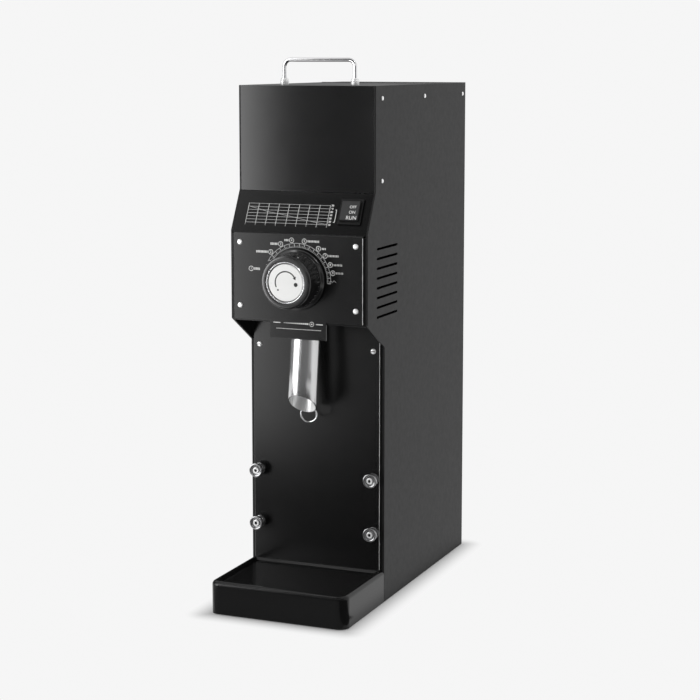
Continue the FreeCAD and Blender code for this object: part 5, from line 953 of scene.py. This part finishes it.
def card(name, corners, tone, bright=0.0, edge=0.0, soft=0.1, one_side=False):
    """Board of one tone, or brighter to the left of a soft edge across X. It may face one way only."""
    glow_card = bpy.data.materials.new(name)
    glow_card.use_nodes = True
    tree = glow_card.node_tree
    tree.nodes.clear()
    light = tree.nodes.new("ShaderNodeEmission")
    done = tree.nodes.new("ShaderNodeOutputMaterial")
    tree.links.new(light.outputs["Emission"], done.inputs["Surface"])
    light.inputs["Strength"].default_value = tone
    if bright:
        place = tree.nodes.new("ShaderNodeTexCoord")
        split = tree.nodes.new("ShaderNodeSeparateXYZ")
        ramp = tree.nodes.new("ShaderNodeMapRange")
        ramp.interpolation_type = "SMOOTHSTEP"
        ramp.inputs["From Min"].default_value = edge - soft
        ramp.inputs["From Max"].default_value = edge + soft
        ramp.inputs["To Min"].default_value = bright
        ramp.inputs["To Max"].default_value = tone
        tree.links.new(place.outputs["Object"], split.inputs["Vector"])
        tree.links.new(split.outputs["X"], ramp.inputs["Value"])
        tree.links.new(ramp.outputs["Result"], light.inputs["Strength"])
    if one_side:
        clear = tree.nodes.new("ShaderNodeBsdfTransparent")
        face = tree.nodes.new("ShaderNodeNewGeometry")
        side = tree.nodes.new("ShaderNodeMixShader")
        tree.links.new(face.outputs["Backfacing"], side.inputs["Fac"])
        tree.links.new(light.outputs["Emission"], side.inputs[1])
        tree.links.new(clear.outputs["BSDF"], side.inputs[2])
        tree.links.new(side.outputs["Shader"], done.inputs["Surface"])
    sheet = bpy.data.objects.new(name, bpy.data.meshes.new(name))
    sheet.data.from_pydata(corners, [], [(0, 1, 2, 3)])
    sheet.data.materials.append(glow_card)
    bpy.context.scene.collection.objects.link(sheet)
    sheet.visible_camera = False
    sheet.visible_diffuse = False
    sheet.visible_transmission = False
    sheet.visible_shadow = False


def upright(x0, y0, x1, y1, foot, head):
    """Corners of an upright card between two points of the floor."""
    return [(x0, y0, foot), (x1, y1, foot), (x1, y1, head), (x0, y0, head)]


front_line, left_line, right_line, back_line, ceiling, low_sheet = -1.3, -2.0, 1.6, 0.8, 1.6, 1.0 * mm
card("front_card", upright(left_line, front_line, right_line, front_line, 0.0, 1.1), 0.15, 6.2, -0.66, 0.1)
card("spout_card", upright(-0.33, -1.29, -0.22, -1.29, 0.44, 0.62), 2.5)
card("handle_card", upright(0.05, -1.29, 1.1, -1.29, 0.78, 1.1), 1.8)
card("front_top_card", upright(left_line, front_line, right_line, front_line, 1.1, 3.2), 0.07, 2.6, -1.0, 0.1)
card("left_front_card", upright(left_line, front_line, left_line, -0.6, 0.0, 1.1), 2.0)
card("left_card", upright(left_line, -0.6, left_line, back_line, 0.0, 1.6), 0.2)
card("right_card", upright(right_line, front_line, right_line, -0.3, 0.0, 0.24), 0.08)
card("right_high_card", upright(right_line, front_line, right_line, -0.62, 0.24, 2.2), 0.35)
card("spout_edge_card", upright(0.033, -0.0876, 0.083, -0.0876, 0.225, 0.343), 0.85, one_side=True)
card("rim_card", laid(-0.8, -0.8, -0.55, -0.66, ceiling), 6.0)
card("spark_card", laid(0.74, -0.76, 0.9, -0.64, ceiling), 30.0)
card("lid_card", upright(left_line, 0.81, -0.1, 0.81, 0.56, 1.3), 0.39)
card("rear_left_card", upright(left_line, back_line, -0.1, back_line, 0.0, 0.55), 0.01)
card("far_floor_card", laid(-1.0, front_line, 0.8, -0.98, low_sheet), 0.12, 4.4, -0.51, 0.16)
card("mid_floor_card", laid(-1.0, -0.98, 0.8, -0.72, low_sheet), 0.1, 2.8, -0.44, 0.16)
card("floor_card", laid(-1.0, -0.72, 0.8, -0.33, low_sheet), 0.03)
card("near_floor_card", laid(-0.3, -0.33, 0.1, -0.206, low_sheet), 0.32)
card("corner_glow_card", laid(-0.33, -0.33, -0.17, -0.25, 2.0 * mm), 1.6)
card("corner_dark_card", laid(0.1, -0.33, 0.6, -0.15, low_sheet), 0.04)

# Lamps: three large soft boxes, left, right and overhead. They light the surfaces
# only, since the cards take their part in reflections.


def soft_lamp(name, place, aim, width, height, power):
    """Rectangular soft lamp looking from its place to its aim."""
    light = bpy.data.lights.new(name, "AREA")
    light.shape = "RECTANGLE"
    light.size, light.size_y = width, height
    light.energy = power
    lamp = bpy.data.objects.new(name, light)
    lamp.location = place
    lamp.rotation_euler = (Vector(aim) - Vector(place)).to_track_quat("-Z", "Y").to_euler()
    lamp.visible_glossy = False
    bpy.context.scene.collection.objects.link(lamp)
    return lamp


soft_lamp("left_softbox", (-1.75, -1.55, 0.95), (0.0, 0.0, 0.35), 1.6, 1.9, 26.0)
soft_lamp("right_softbox", (2.1, 0.9, 1.1), (0.0, 0.0, 0.35), 1.3, 1.6, 16.0)
soft_lamp("top_softbox", (0.1, 0.5, 2.3), (0.0, 0.0, 0.4), 1.6, 1.6, 16.0)

# Camera: a long lens from the front right, a little above the middle, tipped down. The
# small shift sets the machine as high in the frame as in the photograph.
camera_down, camera_turn = 7.54, 22.62
camera = bpy.data.cameras.new("camera")
camera.lens = 92.8
camera.sensor_width = 36.0
camera.shift_y = -0.079
eye_point = bpy.data.objects.new("camera", camera)
eye_point.location = (0.862, -2.0486, 0.655)
eye_point.rotation_euler = (math.radians(90.0 - camera_down), 0.0, math.radians(camera_turn))
bpy.context.scene.collection.objects.link(eye_point)
bpy.context.scene.camera = eye_point
bpy.context.scene.view_settings.view_transform = "Standard"
